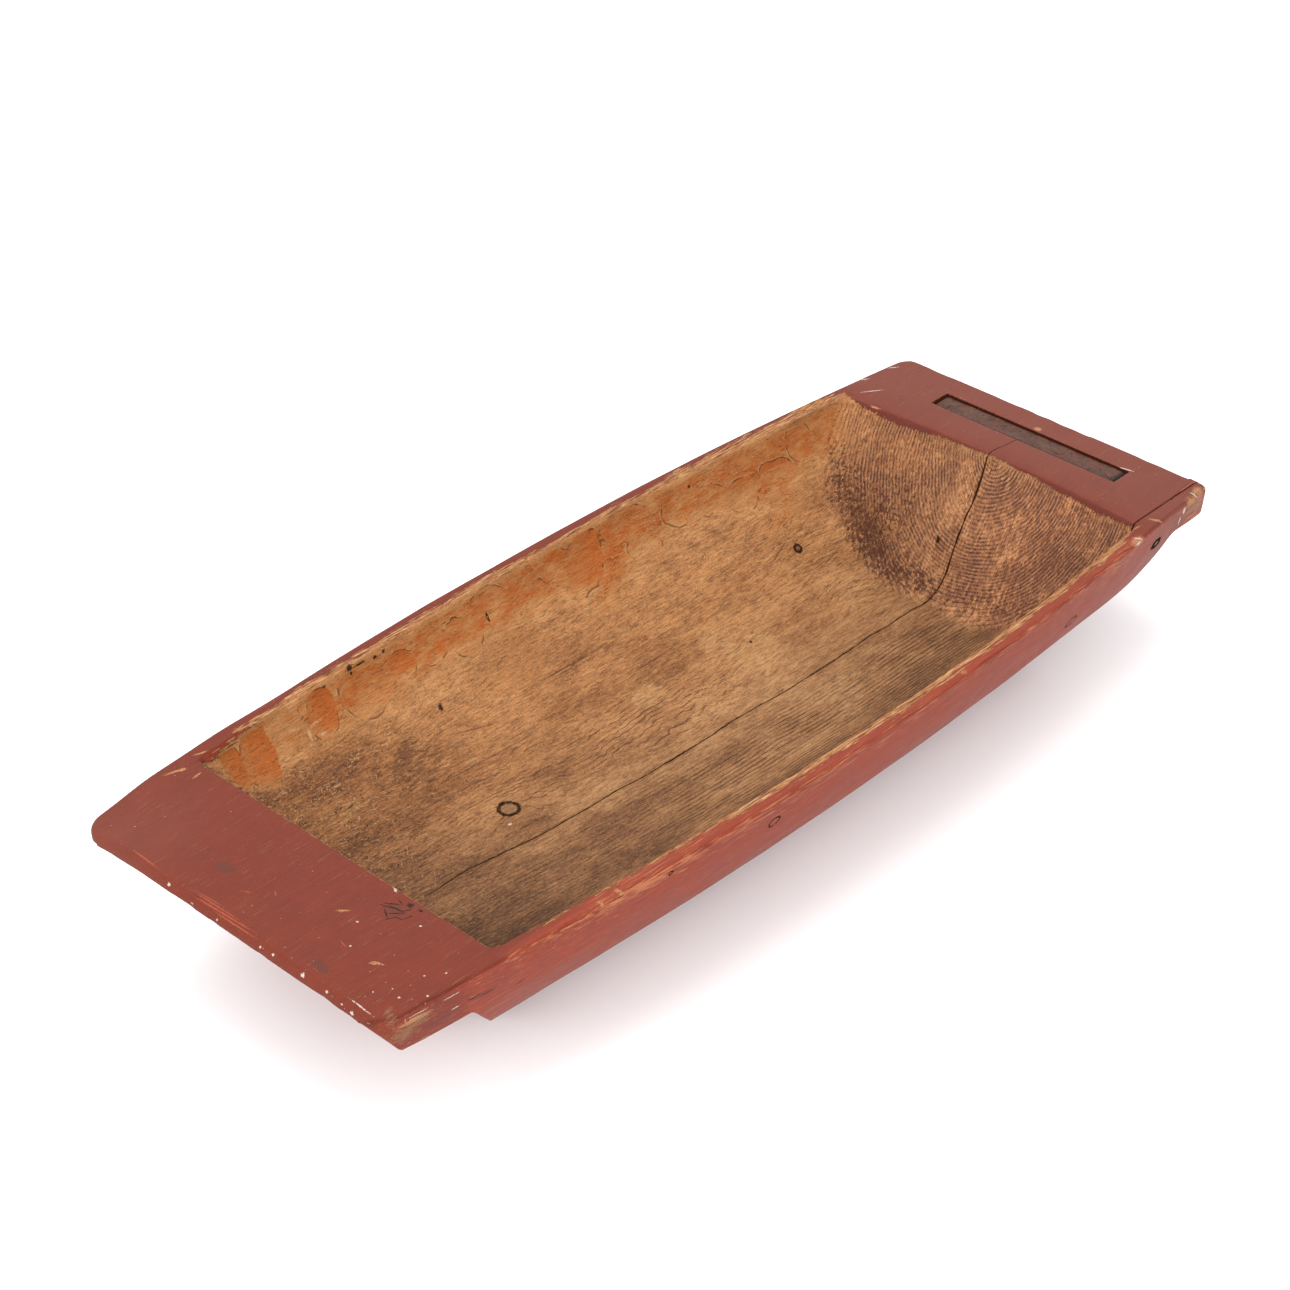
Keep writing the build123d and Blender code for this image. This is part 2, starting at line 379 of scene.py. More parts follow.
def follow_lines(x, y, top):
    """Leads columns along the long crack, the mortise's ends and the split."""
    one = np.ones_like(x)

    def nearest(row, target):
        return int(np.argmin(abs(y[row, top] - target))) + top.start

    def station(place):
        return int(np.argmin(abs(x - place)))

    line = crack_y(x)
    c = nearest(len(x) // 2, 5.0)
    pull(y, [c - 1, c, c + 1], [line + 0.9, line, line - 0.9], one, 14)
    for target in MORTISE_Y:
        c = nearest(station(400), target)
        pull(y, [c, c + 1], [(target + 0.15) * one, (target - 0.15) * one], step(366, 384, x))
    c = nearest(station(375), SPLIT_Y)
    pull(y, [c - 1, c, c + 1], [(SPLIT_Y + s) * one for s in (0.8, 0, -0.8)],
         step(343, 352, x), 3)


def body_points():
    """The body's plain form as rings of points, before any tool mark or wear."""
    stations = along_stations()
    y, z, top = build_rings(stations)
    follow_lines(stations, y, top)
    x = np.broadcast_to(stations[:, None], y.shape).copy()
    on_top = np.zeros(y.shape, bool)
    on_top[:, top] = True
    top_level = smin(rim_level(x, y), hollow_level(x, y), INNER_ARRIS)
    fall = HEIGHT - tip_drop(x) - rim_level(x, y)
    z = np.where(on_top, top_level, z - fall * step(70, 128, z))
    pocket = (on_top & (x > MORTISE_X[0]) & (x < MORTISE_X[1])
              & (y > MORTISE_Y[0]) & (y < MORTISE_Y[1]))
    z[pocket] = STRAP_BOTTOM
    # the ledges are a little thicker, and the strapped one wider, along the right side
    ends = step(-330, -372, x) * (0.25 + 0.75 * step(-436, -400, x)) + 0.3 * step(372, 402, x)
    rim = rim_level(x, y)
    share_down = np.clip((rim - z) / np.maximum(rim - underside(x), 1), 0, 1)
    z = z - 3.2 * ends * step(-30, -140, y) * share_down * ~on_top
    y = y - 3.0 * step(388, 440, x) * step(-146.2, -151, y)
    y = y + 2.5 * step(-240, -330, x) * step(120, 146, y)
    return np.stack([x, y, z], -1), on_top, pocket


def normals_of(points):
    """Outward unit normals of a grid of ring points, closed around each ring."""
    along = np.gradient(points, axis=0)
    around = np.roll(points, -1, 1) - np.roll(points, 1, 1)
    out = np.cross(around, along)
    return out / np.maximum(np.linalg.norm(out, axis=2, keepdims=True), 1e-9)


# ======== wear and cuts
# Gouge bowls on the left wall: x, path below the rim, half length, half reach, depth,
# lean of the stroke, how orange the oiled cut has stayed, and which way it deepens.
GOUGES = [
    (-315, 18, 8.5, 24, 1.6, 0.14, 0.95, 0.4), (-292.5, 22, 15, 28, 2.2, 0.0, 1.0, 0.45),
    (-268, 14, 13, 24, 1.3, 0.1, 0.45, 0.3), (-229, 22, 14.5, 19, 2.0, 0.0, 1.0, 0.5),
    (-187, 24, 24, 22, 1.3, 0.2, 0.6, 0.2), (-147, 22, 13.5, 11, 1.5, 0.3, 0.9, 0.3),
    (-117, 22, 18, 14, 1.3, 0.2, 0.35, 0.3), (-84, 30, 16, 17, 1.1, 0.2, 0.3, 0.3),
    (-50, 20, 22, 17, 1.3, 0.2, 0.4, 0.3), (-12, 28, 20, 18, 1.4, 0.2, 0.35, 0.3),
    (22, 16, 17, 15, 1.2, 0.2, 0.3, 0.3), (47, 27, 24, 25, 2.0, -0.35, 0.95, 0.55),
    (97, 14, 27, 13, 1.7, 0.1, 0.35, 0.3), (112, 40, 18, 15, 1.1, 0.2, 0.3, 0.3),
    (156, 24, 19, 15, 1.8, 0.05, 0.35, 0.3), (192, 31, 19, 14, 1.6, 0.1, 0.4, 0.3),
    (224, 40, 17, 15, 1.6, 0.1, 0.3, 0.3), (265, 38, 21, 15, 1.8, 0.1, 0.55, 0.4),
    (297, 20, 15, 18, 1.2, 0.0, 0.2, 0.3),
]


def surveyed(points, on_top):
    """What the cuts, the paint and the colours read at each point of the plain form: its
    place, the path along the surface from the hollow's edge (+ inside, - out over the
    rim), each wall's share in it, and the distance inside the base's outline."""
    x, y, z = np.moveaxis(points, -1, 0)
    rim = rim_level(x, y)
    sides = np.stack([bow(x) - RIM - y, bow(x) - RIM + y, x - NEAR_EDGE, far_edge(y) - x])
    within = sides.min(0)
    path = np.where(within > 0, np.hypot(within, above(rim - z)), within)
    share = np.exp(-np.clip(sides - within, 0, 80) / 6.0)
    left, right, near, far = share / share.sum(0)
    base = np.minimum(bow(x) - SIDE_INSET - np.abs(y), np.minimum(x - BASE_FROM, BASE_TO - x))
    return SimpleNamespace(
        x=x, y=y, z=z, on_top=on_top, rim=rim, within=within, path=path, left=left,
        right=right, near=near, far=far, base=base, inside=step(1.0, 9.0, path) * on_top,
        bare=step(-1.5, 0.5, path) * on_top)


def painted(at):
    """How far inside (+) or outside (-) the painted area a point lies, and how ragged
    the paint's edge is there, both in mm."""
    x, y, z, on_top = at.x, at.y, at.z, at.on_top
    left_band = -5.4 + 2.0 * noise(x, 0, 0, (45, 1, 1), 51) - 16 * blob(x, y, 322, 165, 17, 60)
    left_band = left_band + through(x, [(-345, 8), (-325, 8), (-300, 0), (140, 0), (170, -1.5)])
    right_band = 1.2 * noise(x, 0, 0, (30, 1, 1), 52) + through(x, [
        (-341, 0.5), (-300, -0.5), (-200, -2.2), (-90, -4.0), (0, -5.2), (40, -5.8),
        (300, -5.2), (335, -4.2), (348, 1.0)])
    far_band = noise(0, y, 0, (1, 14, 1), 53) + through(y, [
        (-140, 5.5), (-100, 6.5), (-60, 5), (-20, 2.5), (10, 2.2), (35, 4), (70, 5.5),
        (92, 8), (110, 7), (135, 4), (150, 3)])
    limit = at.left * left_band + at.right * right_band + at.near * 0.6 + at.far * far_band
    side_band = np.where(y > 0, left_band, right_band)
    beside = np.where((x > -338) & (x < 345), side_band + RIM + at.rim - z, 25.0)
    paint = np.where(on_top, limit - at.path, beside)
    paint = np.where(on_top | (z >= 6), paint, 3 - at.base)
    ragged = at.left * 4.8 + at.right * 2.8 + at.far * 1.5 + at.near * 0.9
    ragged = 0.5 + ragged * step(40, 0, np.abs(at.path))
    below = np.where(z < 8, 6.0, 0.6 + 1.6 * step(24, 2, at.rim - z))
    return np.clip(paint, -40, 25), np.where(on_top, ragged, below)


def arris_distance(at):
    """Distance from the outer arrises, where the paint has worn through."""
    x, y = at.x, at.y
    width = bow(x) - corner_inset(x, np.sign(y))
    outline = np.minimum(width - np.abs(y), np.minimum(x - PLAIN_END, STRAPPED_END - x))
    arris = np.minimum(np.hypot(above(outline), above(at.rim - at.z)), 60.0)
    arris = np.where(at.on_top & (at.path > 0), 60.0, arris)
    return arris + 5.0 * (x > -434) * (x < 436) + 1.6 * (x < -434)


def gouged(at):
    """The gouge bowls of the left wall: depth cut, orange tint, and how deep inside (+)
    or outside (-) the nearest bowl's edge a point lies."""
    x, path = at.x, at.path
    wall = at.left * at.on_top * step(0, 4, path)
    cut, tint, edge = np.zeros_like(x), np.zeros_like(x), -np.ones_like(x)
    wave = 0.2 * noise(x, path, 0, (11, 11, 9), 31) + 0.12 * noise(x, path, 0, (4, 4, 9), 32)
    for middle_x, middle_path, rx, rp, depth, lean, orange, bias in GOUGES:
        u = (x - middle_x - lean * (path - middle_path)) / rx
        v = (path - middle_path) / rp
        bowl = 1 - u**2 - v**2 + wave
        cut = np.maximum(cut, depth * np.clip(bowl, 0, 1) * wall)
        share = np.clip(1 - 0.45 * bias * (1 - u) - 0.45 * step(0.4, 1.1, v), 0, 1.1)
        tint = np.where(bowl > edge, orange * share, tint)
        edge = np.maximum(edge, np.where(wall > 0.02, bowl, -1))
    return cut, tint, edge


def cut_depth(at, gouge_cut, arris, normal):
    """How far hewing and wear have cut each point back along its normal, in mm."""
    x, y, z, on_top, inside = at.x, at.y, at.z, at.on_top, at.inside

    def rough(size, seed, flat=False):
        return noise(x, y, 0 if flat else z, size, seed)

    # the hollow: uneven hewn faces, flats, gouge bowls and the end walls' short strokes
    hewn = rough((46, 20, 20), 1) * 0.55 + rough((17, 9, 9), 2) * 0.22
    hewn = 0.55 + hewn + above(rough((60, 26, 26), 3)) * 0.9
    strokes = rough((11, 9, 16), 4) * 0.5 + rough((30, 26, 34), 5) * 0.7
    cut = inside * (hewn - at.far * strokes) + gouge_cut
    # the rims with their nicks, and the ledges
    outside = on_top & (at.within <= 0)
    rims = outside & (x > HOLLOW_FROM - 4) & (x < HOLLOW_TO + 3)
    nick = above(rough((9, 5, 1), 6, True) - 0.35) * step(6, 0, np.abs(at.path))
    cut = cut + rims * (0.35 + 0.35 * rough((26, 5, 5), 7)) + nick * 1.5 * (at.left + at.right)
    cut = cut + (outside & ~rims) * (0.25 + 0.25 * rough((60, 60, 60), 8))
    # the long sides, the raked ends and the base
    wave = 0.7 + 0.45 * rough((110, 40, 34), 9) + 0.25 * rough((34, 20, 17), 10)
    axe = 1.1 + 1.0 * rough((30, 26, 24), 11)
    raked = step(0.15, 0.5, np.abs(normal[..., 0])) * ~on_top
    cut = cut + (~on_top & (z > 2)) * (wave * (1 - raked) + raked * axe)
    base_wear = 0.3 + 0.3 * rough((70, 24, 1), 12, True)
    cut = cut + (~on_top & (z <= 2)) * base_wear * step(0, 12, at.base)
    # worn arrises, and the broken place where the left rim meets the strapped ledge
    cut = cut + above(rough((26, 12, 12), 13)) * step(5, 0, arris) * 0.9
    broken = blob(x, y, 322, 163, 15, 12) * (on_top & (at.within < 3)) * step(340, 333, x)
    return cut + broken * (2.2 + 0.8 * rough((4, 3, 1), 14, True))


def split_depth(at):
    """How deep the long crack and the split in the strapped ledge go, in mm."""
    x, y, open_by = at.x, at.y, crack_width(at.x)
    groove = at.on_top & (np.abs(y - crack_y(x)) < 0.12) & (open_by > 0.02) & (x < 362)
    split = at.on_top & (np.abs(y - SPLIT_Y) < 0.1) & (x > SPLIT_FROM) & (x < SPLIT_TO)
    return groove * np.minimum(open_by * 4.5, 3.2) + split * 2.2


# ======== colour fields
# Soft ovals of the fields: weight, middle, half sizes and turn, in mm and degrees.
ORANGE = [(0.35, 62, 140, 30, 12, 20), (0.3, -60, 128, 55, 12, 5), (0.35, 255, 128, 40, 16)]
STAINS = [
    (0.9, -184, 114, 20, 6, 30), (0.5, -166, 106, 34, 15, 12), (0.4, -180, 95, 26, 13),
    (0.6, -10, 115.5, 48, 3), (0.5, 40, 113, 9, 6), (0.5, 100, 88, 12, 7),
    (0.5, 60, 92, 10, 5), (0.6, -1.6, 19.7, 9, 6), (0.45, -13, -4.3, 6, 4),
]
CRUMBLED = [(0.7, 322, 62, 20, 34), (0.5, -276, -20, 9, 26)]
TORN_PALE = [
    (0.9, 32, 71, 19, 12, -25), (1.1, 140, 55, 26, 17), (0.7, 55, 24, 26, 9, -12),
    (0.4, 275, 60, 34, 26), (0.35, 170, -22, 60, 10), (0.5, -137, 92, 9, 5),
    (0.4, -250, 104, 18, 9), (0.35, 345, 110, 14, 34), (-0.2, 345, -60, 20, 60),
]
DARKENED = [
    (-0.2, 200, 60, 80, 60), (-0.2, 60, -10, 120, 26), (0.2, 230, -50, 90, 34),
    (0.22, -210, -10, 90, 60), (-0.2, -300, -110, 40, 30), (-0.2, 20, 60, 100, 30),
    (-0.34, -250, -58, 46, 30), (0.16, -240, 138, 44, 18),
]
SCRATCHED = [(0.9, -272, 70, 62, 70), (0.6, 255, 95, 40, 36)]
LINES_LED_ROUND = [
    (12, -147, 44, 46, 20), (7, 30, 50, 76, 24), (8, 145, 58, 40, 26), (10, 262, 60, 44, 34),
]
LINED = [
    (0.85, 20, 48, 84, 30), (0.55, -140, 52, 62, 34), (0.3, -180, -40, 90, 40),
    (0.4, 255, 72, 46, 44),
]
# These lie in x and z.
SIDE_SCUFFS = [(0.9, -232, 122, 62, 9), (0.6, 310, 118, 30, 12), (0.5, -80, 116, 90, 8)]


def crumbly_foot(at):
    """Broken end grain along the foot of the far wall and the top of the near one."""
    x, y = at.x, at.y
    foot = 5 * step(40, 100, y) + through(y, [
        (-90, 302), (-60, 303), (-20, 300), (20, 299), (60, 297), (100, 306), (125, 316),
        (140, 322)])
    wide = 8.5 + 9.0 * step(40, 105, y)
    band = np.exp(-((x - foot) / wide) ** 2) * step(-112, -72, y) * at.inside
    near = at.near * np.exp(-above(at.path) / 6) * step(150, 120, np.abs(y))
    return (0.55 + 0.4 * step(-10, 20, y)) * band * step(150, 125, y) + 0.9 * near


def across_grain(at, points):
    """How far across the hollow a point lies along its surface, led round the knots."""
    walk = np.cumsum(np.linalg.norm(np.diff(points, axis=1, prepend=points[:, :1]), axis=2), 1)
    centre = int(np.argmin(np.where(at.on_top[0], np.abs(at.y[len(at.y) // 2]), 1e9)))
    across = walk - walk[:, centre:centre + 1]
    across = across * np.where(across < 0, 0.55, 0.72)
    return np.clip(across + blobs(at.x, at.y, LINES_LED_ROUND), -300, 300)


def wood_fields(at, points, normal):
    """Fields that the bare wood of the hollow reads."""
    x, y, path, inside, bare = at.x, at.y, at.path, at.inside, at.bare
    orange = 0.44 * at.left * step(0, 8, path) * step(66, 24, path) + blobs(x, y, ORANGE)
    orange = orange + 0.22 * step(60, 130, y) * step(-320, -200, x)
    dark = 0.6 * step(-150, -300, x) * step(150, 120, y) + 0.5 * step(20, -60, y) * step(60, -260, x)
    dark = dark + 0.35 * step(-30, -100, y) + 0.16 * step(20, -40, y) - 0.25 * step(120, 150, y)
    scratchy = 0.25 + 0.8 * step(-285, -320, x) + 0.5 * at.left * step(120, 60, path)
    scratchy = scratchy - 0.5 * step(10, -40, y) + blobs(x, y, SCRATCHED)
    lines = 0.85 * step(-2, -26, y) * step(-118, -92, y) * step(-130, 0, x) * step(300, 268, x)
    lines = np.clip(0.12 + lines + blobs(x, y, LINED), 0, 1) * step(306, 284, x)
    end_grain = np.clip(np.abs(normal[..., 0]) * inside * 1.3, 0, 1)
    beside_split = at.on_top & (x > SPLIT_FROM - 2) & (x < SPLIT_TO + 1.5)
    return {
        "inside": inside,
        "rimmed": np.where(at.on_top, path, -10.0),
        "orange": orange * bare,
        "warm": step(-30, 110, y) * bare,
        # painted light: the upper left wall's bare wood is made lighter, as if more light fell on it
        "wall_lit": step(88, 135, y) * bare,
        # painted light: the strapped end's wall is made lighter and more golden, most towards its
        # right, as if more light fell on it
        "end_lit": end_grain * (x > 0) * (0.25 + 0.75 * step(70, -90, y)) * bare,
        "stain": blobs(x, y, STAINS) * inside,
        "crumbly": (crumbly_foot(at) + blobs(x, y, CRUMBLED)) * inside,
        "pale": (blobs(x, y, TORN_PALE) + 0.7 * blob(x, y, 116, 80, 16, 9) * (y > 66)) * inside,
        "dark": (dark + 0.25 * at.far * inside + blobs(x, y, DARKENED)) * inside,
        "scratchy": np.clip(scratchy, 0, 1.3) * inside,
        "across": across_grain(at, points),
        "lines": lines * inside,
        "end_grain": end_grain,
        "crack": np.clip(y - crack_y(x), -20, 20) + 30 * ~at.on_top,
        "crack_open": crack_width(x) * at.on_top,
        "split": np.where(beside_split, np.clip(y - SPLIT_Y, -20, 20), 20),
    }


def paint_fields(at, normal):
    """Fields that the red paint reads."""
    x, y, z, below = at.x, at.y, at.z, ~at.on_top
    along_side = step(-352, -338, x) * step(352, 338, x)
    scuff = (blobs(x, z, SIDE_SCUFFS) + 1.1 * blob(x, y, 424, -156, 15, 9)) * (y < 60)
    # painted light: level faces take the darker flat red and upright faces a lighter copy of it; the
    # plain end's worn nose counts as level and the right rim's top as upright
    level = step(0.25, 0.6, normal[..., 2] + 0.55 * step(-434, -442, x))
    right_rim = step(-150, -160, y) * step(-350, -338, x) * step(350, 338, x)
    dust = 0.07 + 0.2 * step(-360, -430, x) * step(60, -100, y) + 0.22 * step(-424, -440, x)
    return {
        "scuff": scuff + 0.25 * step(150, 165, y) * below,
        "fray": 0.6 * below * step(16, 2, at.rim - z) * (y < 0) * along_side,
        # painted light: paint facing downwards is made lighter, as if lit from below
        "under": step(-0.25, -0.6, normal[..., 2]) * below,
        # painted shade: the sides' paint is darkened, most on the raked ends under the ledges
        "painted_shade": (0.16 + 0.84 * step(-366, -382, x) + 0.3 * step(380, 400, x)) * below,
        "level": level * (1 - 0.8 * right_rim),
        # painted sheen, partly faded paint: paler, pinker red on the strapped end and the left of
        # the plain ledge
        "sheen_and_fading": step(330, 400, x) + 0.5 * step(-340, -430, x) * step(40, 120, y),
        "dust": (dust + 0.05 * step(320, 380, x)) * (1 - at.inside),
        # painted reflection: low marks where the paint takes a pinkish veil from the pale floor, low
        # on the sides and at the strapped end
        "low": step(108, 60, z) + step(340, 420, x),
    }


def shaped_body():
    """Final points of the body and the fields that its material reads."""
    points, on_top, pocket = body_points()
    at = surveyed(points, on_top)
    normal = normals_of(points)
    paint, ragged = painted(at)
    arris = arris_distance(at)
    gouge_cut, tint, bowl = gouged(at)
    cut = np.where(pocket, 0.0, cut_depth(at, gouge_cut, arris, normal))
    points = points - normal * cut[..., None]
    points[..., 2] -= split_depth(at)
    lowest, highest = (PLAIN_END, -MIDDLE_HALF, 0.0), (STRAPPED_END, MIDDLE_HALF, HEIGHT)
    points = np.clip(points, lowest, highest)

    at.x, at.y, at.z = np.moveaxis(points, -1, 0)
    normal = normals_of(points)
    fields = {"paint": paint, "ragged": ragged, "arris": arris, "tint": tint * at.bare,
              "bowl": bowl, **wood_fields(at, points, normal), **paint_fields(at, normal)}
    return points, fields


# ======== meshes
def ring_faces(rows, columns):
    """Quads between neighbouring rings of a grid that closes around each ring."""
    i, j = np.meshgrid(np.arange(rows - 1), np.arange(columns), indexing="ij")
    k = (j + 1) % columns
    corners = [i * columns + j, (i + 1) * columns + j, (i + 1) * columns + k, i * columns + k]
    return np.stack(corners, -1).reshape(-1, 4)


def zipped_cap(first, points, flip):
    """Triangles closing an end ring whose points are numbered from first, zipped between
    its upper and lower half."""
    count = len(points)
    y = points[:, 1]
    left, right = int(np.argmax(y)), int(np.argmin(y))
    upper = [k % count for k in range(left, (right if right > left else right + count) + 1)]
    lower = [k % count for k in range(left, (right if right < left else right - count) - 1, -1)]
    faces = []
    a = b = 0
    while a < len(upper) - 1 or b < len(lower) - 1:
        over = a < len(upper) - 1 and (b == len(lower) - 1 or y[upper[a + 1]] >= y[lower[b + 1]])
        face = (upper[a], lower[b], upper[a + 1] if over else lower[b + 1])
        if len(set(face)) == 3:
            faces.append([first + corner for corner in (face[::-1] if flip else face)])
        a, b = (a + 1, b) if over else (a, b + 1)
    return faces


def closed_grid(grid, flip=False):
    """Points and faces of a grid of rings whose end rings are flat caps."""
    rows, columns = grid.shape[:2]
    caps = [list(range(columns)), list(range((rows - 1) * columns, rows * columns))[::-1]]
    faces = ring_faces(rows, columns)
    if flip:
        faces, caps = faces[:, ::-1], [cap[::-1] for cap in caps]
    return grid.reshape(-1, 3), faces.tolist() + caps


def new_object(name, points, faces, fields=None):
    mesh = bpy.data.meshes.new(name)
    mesh.from_pydata((np.asarray(points) * 0.001).tolist(), [], faces)
    mesh.update()
    mesh.shade_smooth()
    for key, value in (fields or {}).items():
        layer = mesh.attributes.new(key, "FLOAT", "POINT")
        layer.data.foreach_set("value", np.asarray(value, np.float32).ravel())
    obj = bpy.data.objects.new(name, mesh)
    bpy.context.scene.collection.objects.link(obj)
    return obj


def body_object():
    points, fields = shaped_body()
    rows, columns = points.shape[:2]
    faces = ring_faces(rows, columns).tolist()
    faces += zipped_cap(0, points[0], False)
    faces += zipped_cap((rows - 1) * columns, points[-1], True)
    return new_object("trough_wood", points.reshape(-1, 3), faces, fields)


def strap_mesh():
    """The strap as sections along Y: a flat forged bar with worn arrises and pits."""
    along = np.linspace(-0.5, 0.5, 91) * STRAP_LENGTH
    half, thick = STRAP_WIDTH / 2, STRAP_TOP - STRAP_BOTTOM
    side = [(1.0, 0.0), (1.0, 0.72), (0.975, 0.93)]
    top = [(s, 1.0) for s in np.linspace(0.9, -0.9, 17)]
    section = [*side, *top, *((-s, level) for s, level in side[::-1])]
    across, level = (np.array(v) for v in zip(*section))
    y = along[:, None] + 0 * across
    ends = 1.0 - 0.09 * np.exp(-((0.5 * STRAP_LENGTH - np.abs(y)) / 1.2) ** 2)
    x = across * half * ends + 0.05
    worn_edge = 0.35 * noise(y, x, 0, (13, 40, 1), 61) - 0.1
    x = x + np.sign(across) * (np.abs(across) > 0.8) * worn_edge
    pits = above(noise(x, y, 0, (4.0, 6.0, 1), 62)) * 0.4
    sink = 0.1 + 0.1 * noise(x, y, 0, (16, 34, 1), 63) + pits
    z = STRAP_BOTTOM + level * thick - (level > 0.9) * sink
    return closed_grid(np.stack([x + STRAP_X, y + STRAP_Y, z], -1))


def nail_mesh(place, seed):
    """A hand-made nail: lumpy hammered head over a square tapered shank."""
    random = np.random.default_rng(seed)
    turn = np.linspace(0, 2 * math.pi, 20, endpoint=False)
    circle_x, circle_y = np.cos(turn), np.sin(turn)
    square = 1 / np.maximum(np.abs(circle_x), np.abs(circle_y))
    lump = 1 + 0.14 * np.sin(2 * turn + random.uniform(0, 6))
    lump = lump + 0.08 * np.sin(3 * turn + random.uniform(0, 6))
    lean_x, lean_y = random.uniform(-0.06, 0.06, 2)
    head = [(0.9, 0.92), (1.8, 0.88), (2.6, 0.74), (3.2, 0.5), (3.6, 0.22), (3.6, 0.02)]
    shank = [(1.8, 0.0), (1.75, -3.0), (1.5, -8.0), (1.1, -13.0), (0.6, -17.5)]
    rings = []
    for radius, height in head:
        x, y = radius * lump * circle_x, radius * lump * circle_y
        tip = (lean_x * x + lean_y * y) * (height > 0.1)
        rings.append(np.stack([x, y, height - 0.12 + tip], -1))
    for half, depth in shank:
        x, y = half * square * circle_x, half * square * circle_y
        rings.append(np.stack([x, y, depth + 0 * turn], -1))
    return closed_grid(np.array(rings) + np.array([*place, STRAP_TOP]), flip=True)


body = body_object()
strap = new_object("strap_bar", *strap_mesh())
nails = [new_object(f"nail_{number}", *nail_mesh(place, 70 + number))
         for number, place in enumerate(NAILS, start=1)]


# ======== shader nodes
LIGHT = 2.35             # how much brighter than its own colour the studio shows a level face


def shade(*colour):
    """A red, green, blue colour as it should look in the picture, from 0 to 255 each, as
    the linear colour of the surface."""
    linear = [(v / 255 / 12.92) if v < 10 else ((v / 255 + 0.055) / 1.055) ** 2.4 for v in colour]
    return (*[v / LIGHT for v in linear], 1.0)


